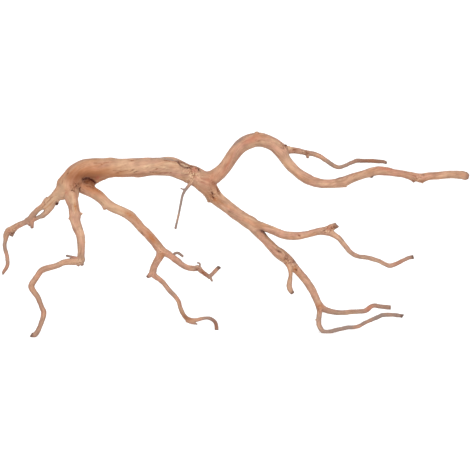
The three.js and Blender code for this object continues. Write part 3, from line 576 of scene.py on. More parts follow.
FLUTE_SIZE, FLUTE_SHARE = 13, 0.03  # in mm, and as a share of the radius
LUMP_SIZE, LUMP_SHARE = 17, 0.022
NICK_SIZE, NICK_SHARE, NICKED_RADIUS = 7.5, 0.026, 7
RIDGE_SIZE, RIDGE_HEIGHT, FULL_RIDGE_RADIUS = 3.8, 0.11, 8  # all in mm
full_size = np.clip(thickness / FULL_RIDGE_RADIUS, 0.25, 1.0)
flutes = waves(grain, FLUTE_SIZE, 1) * thickness * FLUTE_SHARE
lumps = waves(skin, LUMP_SIZE, 2) * thickness * LUMP_SHARE
nicks = waves(skin, NICK_SIZE, 4) * np.clip(NICKED_RADIUS - thickness, 1, 3.5) * NICK_SHARE
SMOOTH_TWIG, SMOOTHED = list(lines).index("hanging_twig"), 0.4
nicks[nearest_line == SMOOTH_TWIG] *= SMOOTHED
ridges = waves(grain, RIDGE_SIZE, 3) * RIDGE_HEIGHT * full_size
relief = flutes + lumps + nicks + ridges
print("relief from", round(float(relief.min()), 2), "to", round(float(relief.max()), 2), "mm")

# %% [markdown]
# ## Knots, slits and the pocket
#
# Knots are the stumps of side roots: a ring of raised wood around a dark, dry core. Slits are drying cracks.
# The largest mark is the pocket under the left shoulder, where the wood rotted out behind the long root. Its
# hollow is shallow: most of its dark, and the brown and orange on the trunk's underside over it, is painted
# shade, and the dark crescent under the overhang is a painted shadow. Some other marks paint shade in a
# crotch and on top rims, and two paint a highlight on a sliver. All marks are placed on the same leaning
# sheet as the
# stations, and there are three kinds:
#
# - A wash is colour alone: an oval, by its middle, half length, half width and turn in degrees, and then the
#   tint that it gives the wood and how strongly. It goes right through to the back.
# - A spot is an oval too, with how deep it goes before its tint. Less than nothing stands up. It is only on
#   the side that faces the viewer.
# - A crack follows a row of points, with its half width, depth, tint and strength. It is on that side too.

# %% Wide washes of colour, some of them painted shade
WASHES = {
    "shoulder_wash": (-190, 199, 36, 15, 14, "orange", 0.45),
    "root_wash": (-179, 180, 15, 7, -30, "orange", 0.5),
    # painted shade: orange and brown on the shaded underside of the trunk's left half, over the pocket
    "painted_shade_roof": (-183, 198.5, 28, 8, 2, "orange", 0.6),
    "trunk_belly_painted_shade": (-152, 199, 34, 7, 0, "orange", 0.4),
    "painted_shade_roof_near": (-184, 196.6, 20, 4.8, 0, "brown", 0.72),
    # painted shade beside the pocket, where the trunk's flank runs into the hub
    "pocket_flank_painted_shade": (-197.5, 190, 8, 9, 20, "brown", 0.6),
    "hub_shade": (-202, 181, 6, 5, 0, "brown", 0.3),
    "leg_straw": (-201.5, 168, 15, 2.4, 96, "pale", 0.45),
    # painted shade on the floor of the pocket
    "pocket_floor_painted_shade": (-180, 186, 9, 4.5, -25, "brown", 0.4),
    "hub_pale": (-213, 184, 7, 8, 0, "pale", 0.35),
    "belly_shade": (-118, 198, 20, 2.8, -2, "brown", 0.3),
    "trunk_wash": (-135, 206, 34, 9, 0, "pale", 0.12),
    "fork_shade": (-31, 179, 9, 12, 0, "brown", 0.27),
    "back_end": (-26, 14, 9, 5, -50, "grey", 0.8),
    "low_knee": (168, 31, 6, 4, 30, "red", 0.4),
    "arch_flush": (20, 243, 11, 4, 24, "red", 0.55),
    "fork_rose": (-34, 190, 13, 8, 30, "red", 0.3),
    "arch_rose": (-12, 206, 20, 8, 52, "red", 0.25),
    "left_root_pale": (-232, 163, 18, 7, 42, "pale", 0.45),
    "descend_pale": (67, 212, 16, 8, -48, "pale", 0.3),
    "front_low_shade": (-243, 40, 46, 14, 90, "brown", 0.16),
    "back_bend": (-62, 20, 9, 6, -45, "brown", 0.5),
    "back_end_shade": (-25, 11, 9, 4, -70, "brown", 0.5),
    "long_root_pale": (-150, 157, 24, 7, -30, "pale", 0.4),
    "long_root_orange": (-118, 133, 26, 7, -48, "orange", 0.22),
    "twig_end_brown": (171, 215.5, 21, 4, 0, "brown", 0.6),
    "arm_wash": (205, 199, 60, 7, -3, "red", 0.12),
}
print("washes:", len(WASHES))

# %% Spots on the front
SPOTS = {
    # a real hollow 1.6 mm deep, browned further with painted shade
    "pocket": (-182, 190, 7.5, 3.2, -20, 1.6, "brown", 0.6),
    "pocket_flush": (-171.8, 194.4, 3.2, 2, 30, -0.3, "red", 0.9),
    "root_flush": (-172, 179.5, 7, 2.6, -38, 0, "orange", 0.9),
    "hub_knot": (-203.2, 178.6, 1.3, 0.9, 10, 0.5, "dark", 0.9),
    "hub_speck": (-198.2, 184.2, 1.1, 0.8, 60, 0.4, "dark", 0.8),
    "hub_speck_left": (-202.1, 184.8, 0.8, 0.6, 0, 0.4, "dark", 0.8),
    "hub_speck_high": (-199.4, 186.8, 0.9, 0.6, 20, 0.4, "dark", 0.8),
    "hub_speck_right": (-196.3, 186.4, 0.9, 0.6, -30, 0.4, "dark", 0.7),
    "hub_speck_low": (-200.2, 182.4, 0.8, 0.6, 0, 0.4, "dark", 0.7),
    "hub_speck_two": (-201.5, 187.5, 1.6, 0.8, 40, 0.4, "brown", 0.7),
    "hub_speck_three": (-205.5, 184, 1.2, 0.8, 0, 0.3, "brown", 0.6),
    "hub_knot_two": (-200.6, 177.2, 1.6, 0.8, -30, 0.5, "dark", 0.8),
    "shoulder_specks": (-209, 199.8, 2.6, 1.2, 55, 0.3, "brown", 0.8),
    "leg_streak": (-199.3, 157.5, 1.6, 5, 8, 0.2, "orange", 0.9),
    "leg_low": (-192.5, 125, 2, 9, 10, 0.1, "pale", 0.5),
    "strand_stub_end": (-222.8, 161.8, 2, 2.2, 30, 0.2, "dark", 1.0),
    "slit_knot": (-128, 203.6, 3, 0.9, 30, 0.7, "dark", 0.8),
    "slit_knot_two": (-124.2, 201.4, 2.6, 0.8, 25, 0.6, "dark", 0.75),
    "slit_ring": (-127, 202.5, 6, 3.6, 10, -0.35, "pale", 0.3),
    "top_knot": (-128.5, 215.2, 4, 0.8, 0, 0.4, "brown", 0.7),
    "eye_one": (-110, 208.5, 4.5, 1.8, 20, -0.35, "pale", 0.45),
    "eye_two": (-88, 207, 5.5, 1.8, -12, -0.35, "pale", 0.45),
    "eye_shade": (-98.5, 205, 4.5, 1, 25, 0.25, "brown", 0.5),
    "pink_lump": (-50.5, 204.4, 3.4, 2.4, 20, -1.0, "red", 0.6),
    "pink_lump_two": (-54.5, 207.6, 2.2, 1.4, -30, -0.5, "red", 0.4),
    "torn_notch": (-45.2, 204.6, 1.2, 2.6, 10, 0.7, "dark", 0.75),
    "pale_patch": (-51.5, 198.3, 4.2, 1.5, 5, -0.3, "pale", 1.0),
    "pale_patch_low": (-55, 197, 2.4, 1.2, 20, 0, "pale", 0.8),
    "twig_root": (-53.5, 191.5, 4.5, 1.2, 62, -0.3, "pale", 0.7),
    "crotch_shade": (-27, 187, 2.5, 4.5, 30, 0, "brown", 0.55),
    "crotch_line": (-21.8, 178.2, 1.4, 7, 26, 0.3, "brown", 0.9),
    "stub_knot": (-28.3, 174.8, 2, 1.2, -55, 0.8, "dark", 1.0),
    "stub_knot_two": (-27.6, 169.8, 2.4, 1.2, -45, 0.8, "dark", 0.9),
    "stub_flush": (-25, 167, 8, 4, -40, 0, "orange", 0.7),
    # painted shade: a grey line along the upper rim of the arch
    "arch_edge_painted_shade": (5, 240.6, 10, 1.6, 38, 0.2, "grey", 0.9),
    "fork_knot_dark": (63.4, 234.8, 2.4, 1.7, 0, 0.5, "dark", 0.75),
    "fork_knot_low": (60, 231.2, 1.7, 1.5, 40, 0.5, "dark", 0.5),
    "fork_pale": (69.5, 231.3, 4.5, 1.8, -10, 0, "pale", 0.9),
    "twig_flush": (74, 229.5, 4, 2, -8, 0, "brown", 0.75),
    "twig_knot": (90.5, 225.5, 3, 1.8, 0, 0.3, "brown", 0.8),
    "arm_pale": (112, 186, 10, 2, -4, 0, "pale", 0.35),
    "arm_flush": (187, 205.6, 10, 2.2, -6, 0, "red", 0.65),
    "arm_nub_dark": (172, 195.4, 3, 1.2, 15, 0.3, "dark", 0.6),
    "arm_knot": (234.5, 197.8, 2, 1, 0, 0.4, "dark", 0.5),
    "arm_knot_two": (223.5, 196.5, 3, 0.9, -20, 0.3, "brown", 0.7),
    "arm_nub_shade": (222.5, 190.6, 2.5, 1.4, 0, 0, "brown", 0.6),
    "arm_nub_shade_two": (234, 190.6, 4, 1.2, 10, 0, "brown", 0.6),
    "side_knot": (80, 122.2, 2.4, 1.2, -45, 0.5, "brown", 0.9),
    "side_knot_two": (111, 128.6, 3, 1.2, 30, 0.5, "dark", 0.5),
    "side_knot_three": (117, 131.5, 3, 1.3, 35, 0.3, "red", 0.7),
    "shoot_shade": (121.5, 131.5, 3.5, 2, 40, 0.3, "brown", 0.8),
    "shoot_end": (126.6, 135.2, 1.6, 2.4, 40, 0, "grey", 0.8),
    "shoot_side": (124.4, 131.6, 2, 1.6, -60, 0.2, "dark", 0.5),
    "droop_slit": (54.6, 102.6, 4, 1.2, -30, 1.2, "dark", 1.0),
    "droop_slit_rim": (53, 106, 4.5, 1.2, -32, -0.4, "pale", 0.6),
    "droop_dark": (63.4, 93.4, 2.8, 2.4, -45, 0.5, "dark", 0.6),
    "droop_grey": (74, 88.5, 2.2, 1.6, 30, -0.2, "grey", 0.8),
    "droop_flush": (75, 80.5, 2.6, 2, -50, 0.2, "orange", 1.0),
    "droop_flush_dark": (76.6, 79, 1.8, 1.2, -50, 0.3, "dark", 0.7),
    "leg_fork_shade": (103.5, 31, 3, 5, 30, 0, "brown", 0.6),
    "leg_fork_flush": (106, 34, 4, 2.5, -30, 0, "orange", 0.7),
    "elbow_dark": (-278.5, 125, 3.5, 2.2, 20, 0, "dark", 0.6),
    "elbow_flush": (-283, 128, 3, 2, 30, 0, "red", 0.4),
    "twig_dark": (-207, 96.6, 4.5, 1.6, -8, 0, "grey", 1.0),
    "twig_red": (-200, 94.6, 4, 1.5, -8, 0, "red", 0.6),
    "long_root_flush": (-133, 148, 5, 2.5, -35, 0, "orange", 0.7),
    "long_root_flush_low": (-104.5, 119.5, 8, 3, -52, 0, "orange", 0.95),
    "long_root_edge": (-116, 125, 3, 1.2, -45, 0.2, "dark", 0.5),
    "back_fork_flush": (-91.5, 97, 4, 4, 0, 0, "orange", 0.6),
    "hook_knot": (-47, 80, 2.6, 1.8, 0, 0.2, "brown", 0.7),
    "hook_grey": (-38.5, 75, 6, 2.4, -38, 0, "grey", 0.8),
    "hook_brown": (-39, 75.5, 6, 2.4, -38, 0.1, "brown", 0.8),
    "hub_rose": (-210.5, 175.5, 2.6, 3.6, 0, 0, "red", 0.5),
    "leg_rose": (-200.3, 170, 1.8, 4, 0, 0, "red", 0.35),
}
print("spots:", len(SPOTS))

# %% Cracks and edges on the front
CRACKS = {
    # painted shadow: the dark crescent under the trunk's overhang, and painted shade in the grooves below it
    "painted_shadow_arch": ([(-189.2, 191.6), (-186.2, 192.6), (-182, 192), (-178.2, 190.2), (-174.8, 187)],
                    2.0, 1.2, "dark", 1.0),
    "painted_shade_arch_two": ([(-185, 188.6), (-181.2, 187.8), (-176, 184)], 1.0, 0.6, "brown", 0.8),
    "painted_shade_arch_three": ([(-185, 183.8), (-181, 184), (-176.5, 181.4)], 0.8, 0.5, "brown", 0.7),
    # painted shadow in the notch where the front leg and the long root meet
    "painted_shadow_notch": ([(-193.4, 182.2), (-194, 179.8), (-194.2, 177.4)], 0.8, 0.8, "dark", 0.75),
    "notch_lip": ([(-193, 177), (-189, 175.8)], 0.9, 0, "brown", 0.5),
    "crevice": ([(-71, 214.2), (-67.6, 210.2), (-63, 207), (-57.4, 206.8), (-53.5, 208.3)],
                1.0, 1.4, "dark", 0.75),
    "crevice_upper": ([(-70, 214.6), (-63.75, 212.6), (-58.25, 210.2), (-52, 208.8)], 0.9, 0.5, "brown", 0.8),
    # painted highlight: the raised sliver over the crevice is painted grey and pale as if catching light
    "crevice_sliver_painted_highlight": ([(-66.2, 211.6), (-63, 210), (-59.3, 208.6)], 1.3, -0.8, "grey", 0.8),
    "sliver_painted_highlight": ([(-66.2, 211.6), (-63, 210), (-59.3, 208.6)], 1.0, 0, "pale", 0.6),
    # painted shade: a grey line along the trunk's top rim, where the light falls off
    "shoulder_rim_painted_shade": ([(-104, 218.6), (-88, 218.8), (-76, 216), (-62, 212.8)], 1.3, 0, "grey", 0.7),
    "top_line": ([(-88, 216.4), (-79, 214.4), (-71, 214.2)], 0.7, 0.3, "brown", 0.6),
    "torn_rim_edge": ([(-56, 210.8), (-50.5, 210.2), (-45.5, 206.5), (-43.5, 202.5)], 0.8, 0.3, "dark", 0.6),
    "torn_crack": ([(-55, 205), (-53.5, 201), (-54, 199.5)], 0.6, 0.4, "brown", 0.7),
    "twig_seam": ([(-49.6, 200), (-51.8, 194), (-55.5, 188.5)], 0.6, 0.5, "brown", 0.6),
    "arm_line": ([(126, 193.2), (133, 195), (140, 198), (147.5, 201)], 1.0, 0.5, "dark", 0.55),
    "fork_line": ([(-19.5, 181.5), (-15, 176), (-9, 170.6)], 0.9, 0.2, "dark", 0.35),
    # painted shade in the crotch between the side branch and the drooping branch
    "crotch_painted_shade": ([(32.5, 127.8), (36, 126.8), (40, 124.4)], 1.3, 0.4, "dark", 0.8),
    "strand_gap": ([(-239, 153), (-245, 147.8), (-250.5, 144.8)], 0.7, 0.3, "dark", 0.6),
    "strand_line": ([(-227.5, 171), (-234, 164.5), (-241.5, 157)], 0.6, 0.3, "brown", 0.6),
    "strand_line_two": ([(-226, 166), (-232, 160), (-237, 156)], 0.6, 0.3, "orange", 0.7),
    "strand_line_three": ([(-233, 155.5), (-240, 149.5), (-248, 143.5)], 0.5, 0.25, "grey", 0.7),
    "leg_line": ([(-198, 166), (-197, 158), (-194.6, 151)], 0.6, 0.25, "brown", 0.5),
    "crack_by_the_shoulder": ([(-176, 212.4), (-166, 211.6), (-158, 213)], 0.6, 0.2, "brown", 0.4),
    "grain_line": ([(-152, 203), (-142, 202), (-134, 203.4)], 0.6, 0.25, "brown", 0.45),
    "grain_line_low": ([(-106, 201.6), (-96, 200.2), (-84, 201)], 0.7, 0.25, "brown", 0.5),
}
print("cracks:", len(CRACKS))

# %% Where they fall
TINTS = ("silt", "dark", "brown", "red", "orange", "pale", "grey")
sheet_across = skin[:, 0]
sheet_up = skin[:, 2] * math.cos(SHEET_LEAN) + (skin[:, 1] - DEPTH_SHIFT) * math.sin(SHEET_LEAN)
normal = unit(outward)
FRONT_FROM, FRONT_FADE = -0.15, 0.4
front = np.clip((normal @ TOWARDS_VIEWER - FRONT_FROM) / FRONT_FADE, 0, 1)
hollowed = np.zeros(len(skin))
tints = {name: np.zeros(len(skin)) for name in TINTS}


def in_oval(across, up, half_length, half_width, turn):
    """exp(-q), q the squared distance from the middle, with the half length and half width as one."""
    c, n = math.cos(math.radians(turn)), math.sin(math.radians(turn))
    x, y = sheet_across - across, sheet_up - up
    return np.exp(-(((x * c + y * n) / half_length) ** 2) - ((y * c - x * n) / half_width) ** 2)


def by_crack(points, half_width):
    """exp(-q), q the squared distance to the nearest straight stretch, with the half width as one."""
    nearest = np.full(len(skin), np.inf)
    for (x0, y0), (x1, y1) in zip(points, points[1:]):
        x, y, dx, dy = sheet_across - x0, sheet_up - y0, x1 - x0, y1 - y0
        t = np.clip((x * dx + y * dy) / (dx**2 + dy**2), 0, 1)
        nearest = np.minimum(nearest, (x - t * dx) ** 2 + (y - t * dy) ** 2)
    return np.exp(-nearest / half_width**2)


def stain(tint, strength):
    """Two stains over each other leave 1 - (1 - a)(1 - b)."""
    tints[tint] = 1 - (1 - tints[tint]) * (1 - np.clip(strength, 0, 1))


# %% Put the marks on
WASH_GRAIN, FRAY = 5.0, 3.0
streaky = 1 + 0.2 * waves(grain, WASH_GRAIN, 10)
for *oval, tint, amount in WASHES.values():
    stain(tint, in_oval(*oval) * amount * streaky)
frayed = 1 + 0.3 * waves(skin, FRAY, 9)
for *oval, depth, tint, amount in SPOTS.values():
    strength = in_oval(*oval) * front
    hollowed += strength * depth
    stain(tint, strength * amount * frayed)
for points, half_width, depth, tint, amount in CRACKS.values():
    strength = by_crack(points, half_width) * front
    hollowed += strength * depth
    stain(tint, strength * amount * frayed)
print("deepest", round(float(hollowed.max()), 1), "mm, proudest", round(float(-hollowed.min()), 1), "mm")

# %% [markdown]
# Where roots were torn off, the surface is crumbly: small chips stand up and are pale, and small holes are
# painted dark. These are a second, finer set of waves, let through only in the torn places.

# %% Crumbly places
CRUMBLY = {
    "torn_shoulder": (-54, 203.5, 11, 6.5, -20, 0.55),
    "hub": (-200, 181.5, 6, 6, 0, 0.3),
    "twig_base": (-54, 193, 6, 3, 60, 0.4),
    "broken_stub": (-28, 172, 7, 8, 0, 0.42),
    "fork_knot": (64, 233, 7, 4, -10, 0.45),
    "thin_fork": (88, 226, 7, 3, -10, 0.35),
    "side_shoot": (117, 130.5, 10, 5, 25, 0.5),
    "droop_knots": (68, 90, 12, 5, -45, 0.45),
    "hook_end": (-42, 78, 9, 5, -30, 0.4),
    "left_elbow": (-279, 127, 7, 4, 25, 0.35),
    "leg_elbow": (-195, 90, 9, 5, 0, 0.3),
    "arm_nubs": (228, 193, 9, 4, 0, 0.3),
    "root_fork": (-93, 103, 7, 6, 0, 0.25),
}
CHIP_SIZE, PALE_CHIP = 2.6, 0.6
HOLE_SIZE, DARK_HOLE = 2.2, 0.7
FULL_HEIGHT = 0.5
chips = waves(skin, CHIP_SIZE, 5)
holes = waves(skin, HOLE_SIZE, 6)
for *oval, height in CRUMBLY.values():
    strength = in_oval(*oval)
    relief += strength * height * chips * full_size
    stain("brown", strength * np.clip(holes - DARK_HOLE, 0, 1) * 1.2 * height / FULL_HEIGHT)
    stain("pale", strength * np.clip(chips - PALE_CHIP, 0, 1) * height / FULL_HEIGHT)
print("crumbly places:", len(CRUMBLY))

# %% [markdown]
# The back has its own knots, and the front has small ones besides those in the photograph. They are
# scattered at random over the thicker limbs, in fibre coordinates, so each is drawn out along the grain.

# %% Scattered knots
SCATTERED = 110
KNOTTY_RADIUS = 3.2
KNOT_SIZES, SMALLER_IN_FRONT = (0.5, 1.5), 0.5  # half width in mm, and what it is multiplied by
FRONT_NORMAL = -0.2  # a knot whose surface faces the viewer more than this is in front
KNOT_REACH = 6  # how far a knot is worked out, in half widths
KNOT_LENGTH = 2.2  # times its width
RING_RADIUS, RING_SHARPNESS, RING_HEIGHT = 1.7, 4, 0.5
KNOT_DEPTH = 0.5  # as a share of its half width
KNOT_DARKNESS = (0.3, 0.7)
DARK_KNOT = 0.8
thick_enough = np.flatnonzero(thickness > KNOTTY_RADIUS)
for middle in random.choice(thick_enough, SCATTERED, replace=False):
    in_front = normal[middle, 1] < FRONT_NORMAL
    size = random.uniform(*KNOT_SIZES) * (SMALLER_IN_FRONT if in_front else 1.0)
    near = np.flatnonzero(((skin - skin[middle]) ** 2).sum(1) < (KNOT_REACH * size) ** 2)
    half_size = size * np.array([ALONG_SCALE * KNOT_LENGTH, 1, 1])
    q = (((grain[near] - grain[middle]) / half_size) ** 2).sum(1)
    core = np.exp(-q)
    ring = np.exp(-((np.sqrt(q) - RING_RADIUS) ** 2) * RING_SHARPNESS)
    hollowed[near] += KNOT_DEPTH * size * (core - RING_HEIGHT * ring)
    amount = np.zeros(len(skin))
    amount[near] = core * random.uniform(*KNOT_DARKNESS)
    stain("dark" if size > DARK_KNOT else "brown", amount)
print("scattered knots:", SCATTERED)

# %% [markdown]
# ## Weathered tips
#
# The broken ends took up silt and went dark, and the last stretch of a thin twig is a little greyer and
# browner than the rest. The thin roots greyed along their whole length, some more than others, and in
# patches: where the grey lets up, a little rose shows. Lines that stop inside the wood, and small knobs that
# are no broken end, are listed first and left out.

# %% Tips and grey twigs
INNER_ENDS = {
    "trunk", "long_root", "arched_branch", "lower_branch", "web_under_trunk", "root_shoulder", "pocket_lip",
    "crotch_web", "torn_rim", "arm_corner", "crown_lip", "broken_root", "root_nub", "right_bump",
    "left_bump", "crest_nub", "fork_knot", "twig_nub", "ankle_nub", "ragged_edge", "blunt_nub", "droop_nub",
}
DARK_TIPS = {
    "strand_stub", "dark_stub", "right_leg", "elbow_stub", "first_nub", "front_leg", "back_leg",
    "turned_up_end", "side_branch", "upper_twig", "elbow_twig", "hanging_spur",
}
GREYED = {
    "hanging_twig": 5.0, "thorn": 5.0, "right_leg": 1.15, "upper_twig": 0.75, "left_root": 0.75,
    "back_leg": 0.65, "hooked_twig": 0.6, "low_twig": 0.65, "side_branch": 0.45, "front_leg": 0.75,
    "first_hook": 1.0, "second_hook": 1.0, "turned_up_end": 0.8, "elbow_twig": 1.0,
}
HARDLY_GREY = 0.1
line_list = list(lines.values())
length_of_line = np.array([line.distance[-1] for line in line_list])
end_radius = np.array([line.radius[-1] for line in line_list])
open_end = np.array([line.name not in INNER_ENDS for line in line_list])
grey_of_line = np.array([
    GREYED.get(line.name, GREYED.get(line.node, HARDLY_GREY)) for line in line_list
])
is_open = open_end[nearest_line]
grey = grey_of_line[nearest_line]
from_end = length_of_line[nearest_line] - distance_along

# %% Grey in patches on the thin limbs
PATCH_SIZE = 20  # in mm along the limb
LIMBS_APART = 50.0  # far enough that each line has patches of its own
QUITE_GREY = 0.95  # no rose shows on a line as grey as this
GREY_BELOW, ALL_GREY = 5, 2  # radii in mm
thin = grey * np.clip((GREY_BELOW - thickness) / (GREY_BELOW - ALL_GREY), 0, 1)
patchy = waves(np.stack([distance_along, nearest_line * LIMBS_APART, fibre[:, 1]], 1), PATCH_SIZE, 11)
stain("grey", thin * np.clip(0.6 + 0.45 * patchy, 0.1, 1))
stain("red", thin * np.clip(-0.4 * patchy - 0.1, 0, 0.28) * (grey < QUITE_GREY))

# %% Darker towards the ends
FADE_LENGTH = 12  # in mm
FADE_BELOW, FADE_OVER = 4, 1.5  # in mm of radius
TIP_REACH = (1.2, 3.5)  # how far a dark tip reaches: the end's radius, but no less and no more, in mm
reach = np.clip(end_radius, *TIP_REACH)[nearest_line]
tip = np.clip(1.4 - from_end / reach, 0, 1) * is_open
near_end = np.exp(-from_end / FADE_LENGTH) * is_open * np.clip((FADE_BELOW - thickness) / FADE_OVER, 0, 1)
stain("grey", near_end * 0.5)
stain("brown", near_end * 0.15)
dark_tip = np.array([line.name in DARK_TIPS for line in line_list])[nearest_line]
stain("grey", tip * 0.5)
stain("brown", tip**2 * 0.35)
stain("silt", tip**2 * 0.45 * dark_tip)
print("points on tips:", int((tip > 0.1).sum()))

# %% Push the relief out and stand the feet on the floor
# A mark goes square into the wood down to this depth in mm, and from there on straight away from the viewer.
# The wood eases towards the solid model's box and never leaves it.
SQUARE_DEPTH = 1.2
straight_in = np.minimum(hollowed, SQUARE_DEPTH)
wood = skin + normal * (relief - straight_in)[:, None]
wood[:, 1] += hollowed - straight_in
wood[:, 2] = np.maximum(wood[:, 2], 0)
BOX_SOFTNESS = 0.35  # in mm
lowest, highest = (np.array(corner) / MM for corner in cad_box)
floor_level = wood[:, 2] == 0
wood = highest - BOX_SOFTNESS * np.logaddexp(0, (highest - wood) / BOX_SOFTNESS)
wood[:, :2] = lowest[:2] + BOX_SOFTNESS * np.logaddexp(0, (wood - lowest)[:, :2] / BOX_SOFTNESS)
wood[floor_level, 2] = 0
print("wood box in mm:", wood.min(0).round(2), wood.max(0).round(2))

# %% [markdown]
# ## One piece per limb
#
# The shared library wants a limb to answer for each solid limb, so the skin is cut where the solid limbs
# meet: a point belongs to the limb whose centre line is nearest, and the first stretch of a branch, up to its
# cut station, belongs to the limb it grows from. A dozen rounds of voting among neighbours smooth the border.
# Each cut is closed with a cap, so every piece is a closed body. The normals are taken from the uncut skin,
# which keeps the cuts out of sight.

# %% Which limb each face belongs to
LIMB_NAMES = list(LIMBS)
limb_of_line = np.array([LIMB_NAMES.index(line.node) for line in line_list])
parent_of_line = np.array([
    LIMB_NAMES.index(LIMBS[line.name][0]) if line.name in LIMBS and LIMBS[line.name][0] else limb_of_line[i]
    for i, line in enumerate(line_list)
])
cut_of_line = np.array([line.cut for line in line_list])
before_cut = distance_along < cut_of_line[nearest_line]
owner = np.where(before_cut, parent_of_line[nearest_line], limb_of_line[nearest_line])
ends = np.concatenate([quads[:, [i, (i + 1) % 4]] for i in range(4)])
VOTES = 12
for _ in range(VOTES):
    votes = np.eye(len(LIMB_NAMES))[owner]
    for limb in range(len(LIMB_NAMES)):
        votes[:, limb] += np.bincount(ends[:, 0], owner[ends[:, 1]] == limb, len(skin))
    owner = votes.argmax(1)
face_owner = np.sort(owner[quads], axis=1)[:, 1]
print({name: int((face_owner == i).sum()) for i, name in enumerate(LIMB_NAMES)})

# %% Seams between the limbs
face_of_end = np.tile(np.arange(len(quads)), 4)
order = np.lexsort((ends.max(1), ends.min(1)))
one, other = order[0::2], order[1::2]
split = face_owner[face_of_end[one]] != face_owner[face_of_end[other]]
seam_one, seam_other = one[split], other[split]
middles, caps = {}, {i: [] for i in range(len(LIMB_NAMES))}
for side, far in ((seam_one, seam_other), (seam_other, seam_one)):
    mine, theirs = face_owner[face_of_end[side]], face_owner[face_of_end[far]]
    for i, j in sorted(set(zip(mine.tolist(), theirs.tolist()))):
        low, high = min(i, j), max(i, j)
        rim = ends[side[(mine == i) & (theirs == j)]]
        caps[i].append((low, high, rim[:, ::-1]))
        middles.setdefault((low, high), []).append(rim.ravel())
middles = {pair: np.unique(np.concatenate(rims)) for pair, rims in middles.items()}
print("seams:", {f"{LIMB_NAMES[i]} to {LIMB_NAMES[j]}": len(rim) for (i, j), rim in middles.items()})

# %% Normals of the uncut skin
corners = wood[quads]
face_normal = np.cross(corners[:, 2] - corners[:, 0], corners[:, 3] - corners[:, 1])
wood_normal = unit(np.stack([
    np.bincount(quads.ravel(), np.repeat(face_normal[:, i], 4), len(wood)) for i in range(3)
], 1))
print("normals:", len(wood_normal))


# %% Build the pieces
def build_piece(limb):
    """The faces of one limb, with a fan of triangles from the middle of each seam to its rim as a cap."""
    mine = quads[face_owner == limb]
    pairs = sorted({(low, high) for low, high, _ in caps[limb]})
    hubs = {pair: len(wood) + i for i, pair in enumerate(pairs)}
    fans = [np.column_stack([rim, np.full(len(rim), hubs[low, high])]) for low, high, rim in caps[limb]]
    fans = np.vstack(fans) if fans else np.zeros((0, 3), int)
    everything = np.vstack([wood] + [wood[middles[pair]].mean(0) for pair in pairs])
    used, numbers = np.unique(np.concatenate([mine.ravel(), fans.ravel()]), return_inverse=True)
    mesh = bpy.data.meshes.new(LIMB_NAMES[limb] + "_wood")
    four, three = numbers[: mine.size].reshape(-1, 4), numbers[mine.size :].reshape(-1, 3)
    mesh.from_pydata(everything[used] * MM, [], four.tolist() + three.tolist())
    mesh.polygons.foreach_set("use_smooth", np.arange(len(mesh.polygons)) < len(mine))
    first, second, third = (everything[fans[:, i]] for i in range(3))
    flat = np.cross(second - first, third - first)
    flat = flat / np.maximum(np.linalg.norm(flat, axis=1, keepdims=True), 1e-9)
    mesh.normals_split_custom_set(np.vstack([wood_normal[mine.ravel()], np.repeat(flat, 3, 0)]).tolist())
    stand_in = np.where(used < len(wood), used, mine[0, 0])
    fibre_layer = mesh.attributes.new("grain", "FLOAT_VECTOR", "POINT")
    fibre_layer.data.foreach_set("vector", grain[stand_in].ravel())
    for name, values in tints.items():
        mesh.attributes.new(name, "FLOAT", "POINT").data.foreach_set("value", values[stand_in])
    piece = bpy.data.objects.new(mesh.name, mesh)
    bpy.context.collection.objects.link(piece)
    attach(piece, "root")
    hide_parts(LIMB_NAMES[limb])
    return piece


pieces = [build_piece(limb) for limb in range(len(LIMB_NAMES))]
print("pieces:", {piece.name: len(piece.data.polygons) for piece in pieces})

# %% [markdown]
# ## The finish: bare, sand-blown wood
#
# There is no coat on it. The blasting leaves dry fibre ends, so the wood is matt, and only the finest ends
# catch a little light at a grazing angle. Its colour runs from pale tan on worn high places through rose and
# orange to a brown in the hollows, which there is partly painted shade, always in streaks along the grain,
# and the thin twigs have greyed. A picture could be wrapped round it, but it would show seams at the forks.
# Noise in the fibre coordinates runs on through every fork, so the streaks are made of that, one layer for
# each width.
# The tints of the marks and the tips go over the streaks, and some of them are painted shade.

# %% Colours and nodes
def linear(hex_colour):
    """An sRGB colour such as d8ab8c as linear light: ((c + 0.055) / 1.055) ^ 2.4 above 0.04045."""
    channels = [int(hex_colour[i : i + 2], 16) / 255 for i in (0, 2, 4)]
    return [c / 12.92 if c <= 0.04045 else ((c + 0.055) / 1.055) ** 2.4 for c in channels] + [1.0]


def add(tree, kind, settings, inputs):
    """Adds a node. Settings are its own properties. Inputs are its sockets by name or place in the list,
    each with a value, or with another node's output to link."""
    node = tree.nodes.new(kind)
    for key, value in settings.items():
        setattr(node, key, value)
    for key, value in inputs.items():
        if isinstance(value, bpy.types.NodeSocket):
            tree.links.new(value, node.inputs[key])
        else:
            node.inputs[key].default_value = value
    return node


WOOD = linear("be977b")
STREAKS = [
    # width in mm, noise from, noise to, amount, colour
    (8.0, 0.38, 0.64, 0.75, linear("b98874")),
    (6.0, 0.50, 0.68, 0.55, linear("b78562")),
    (3.4, 0.52, 0.70, 0.60, linear("ceab8c")),
    (2.2, 0.50, 0.72, 0.46, linear("966c50")),
    (1.2, 0.50, 0.72, 0.36, linear("7d5641")),
]
TINT_COLOURS = {
    "grey": linear("8f7a70"), "pale": linear("dab996"), "orange": linear("ae7046"), "red": linear("b56a54"),
    "brown": linear("7d472b"), "dark": linear("461004"), "silt": linear("40342f"),
}
FACTOR, FIRST, SECOND = 0, 6, 7

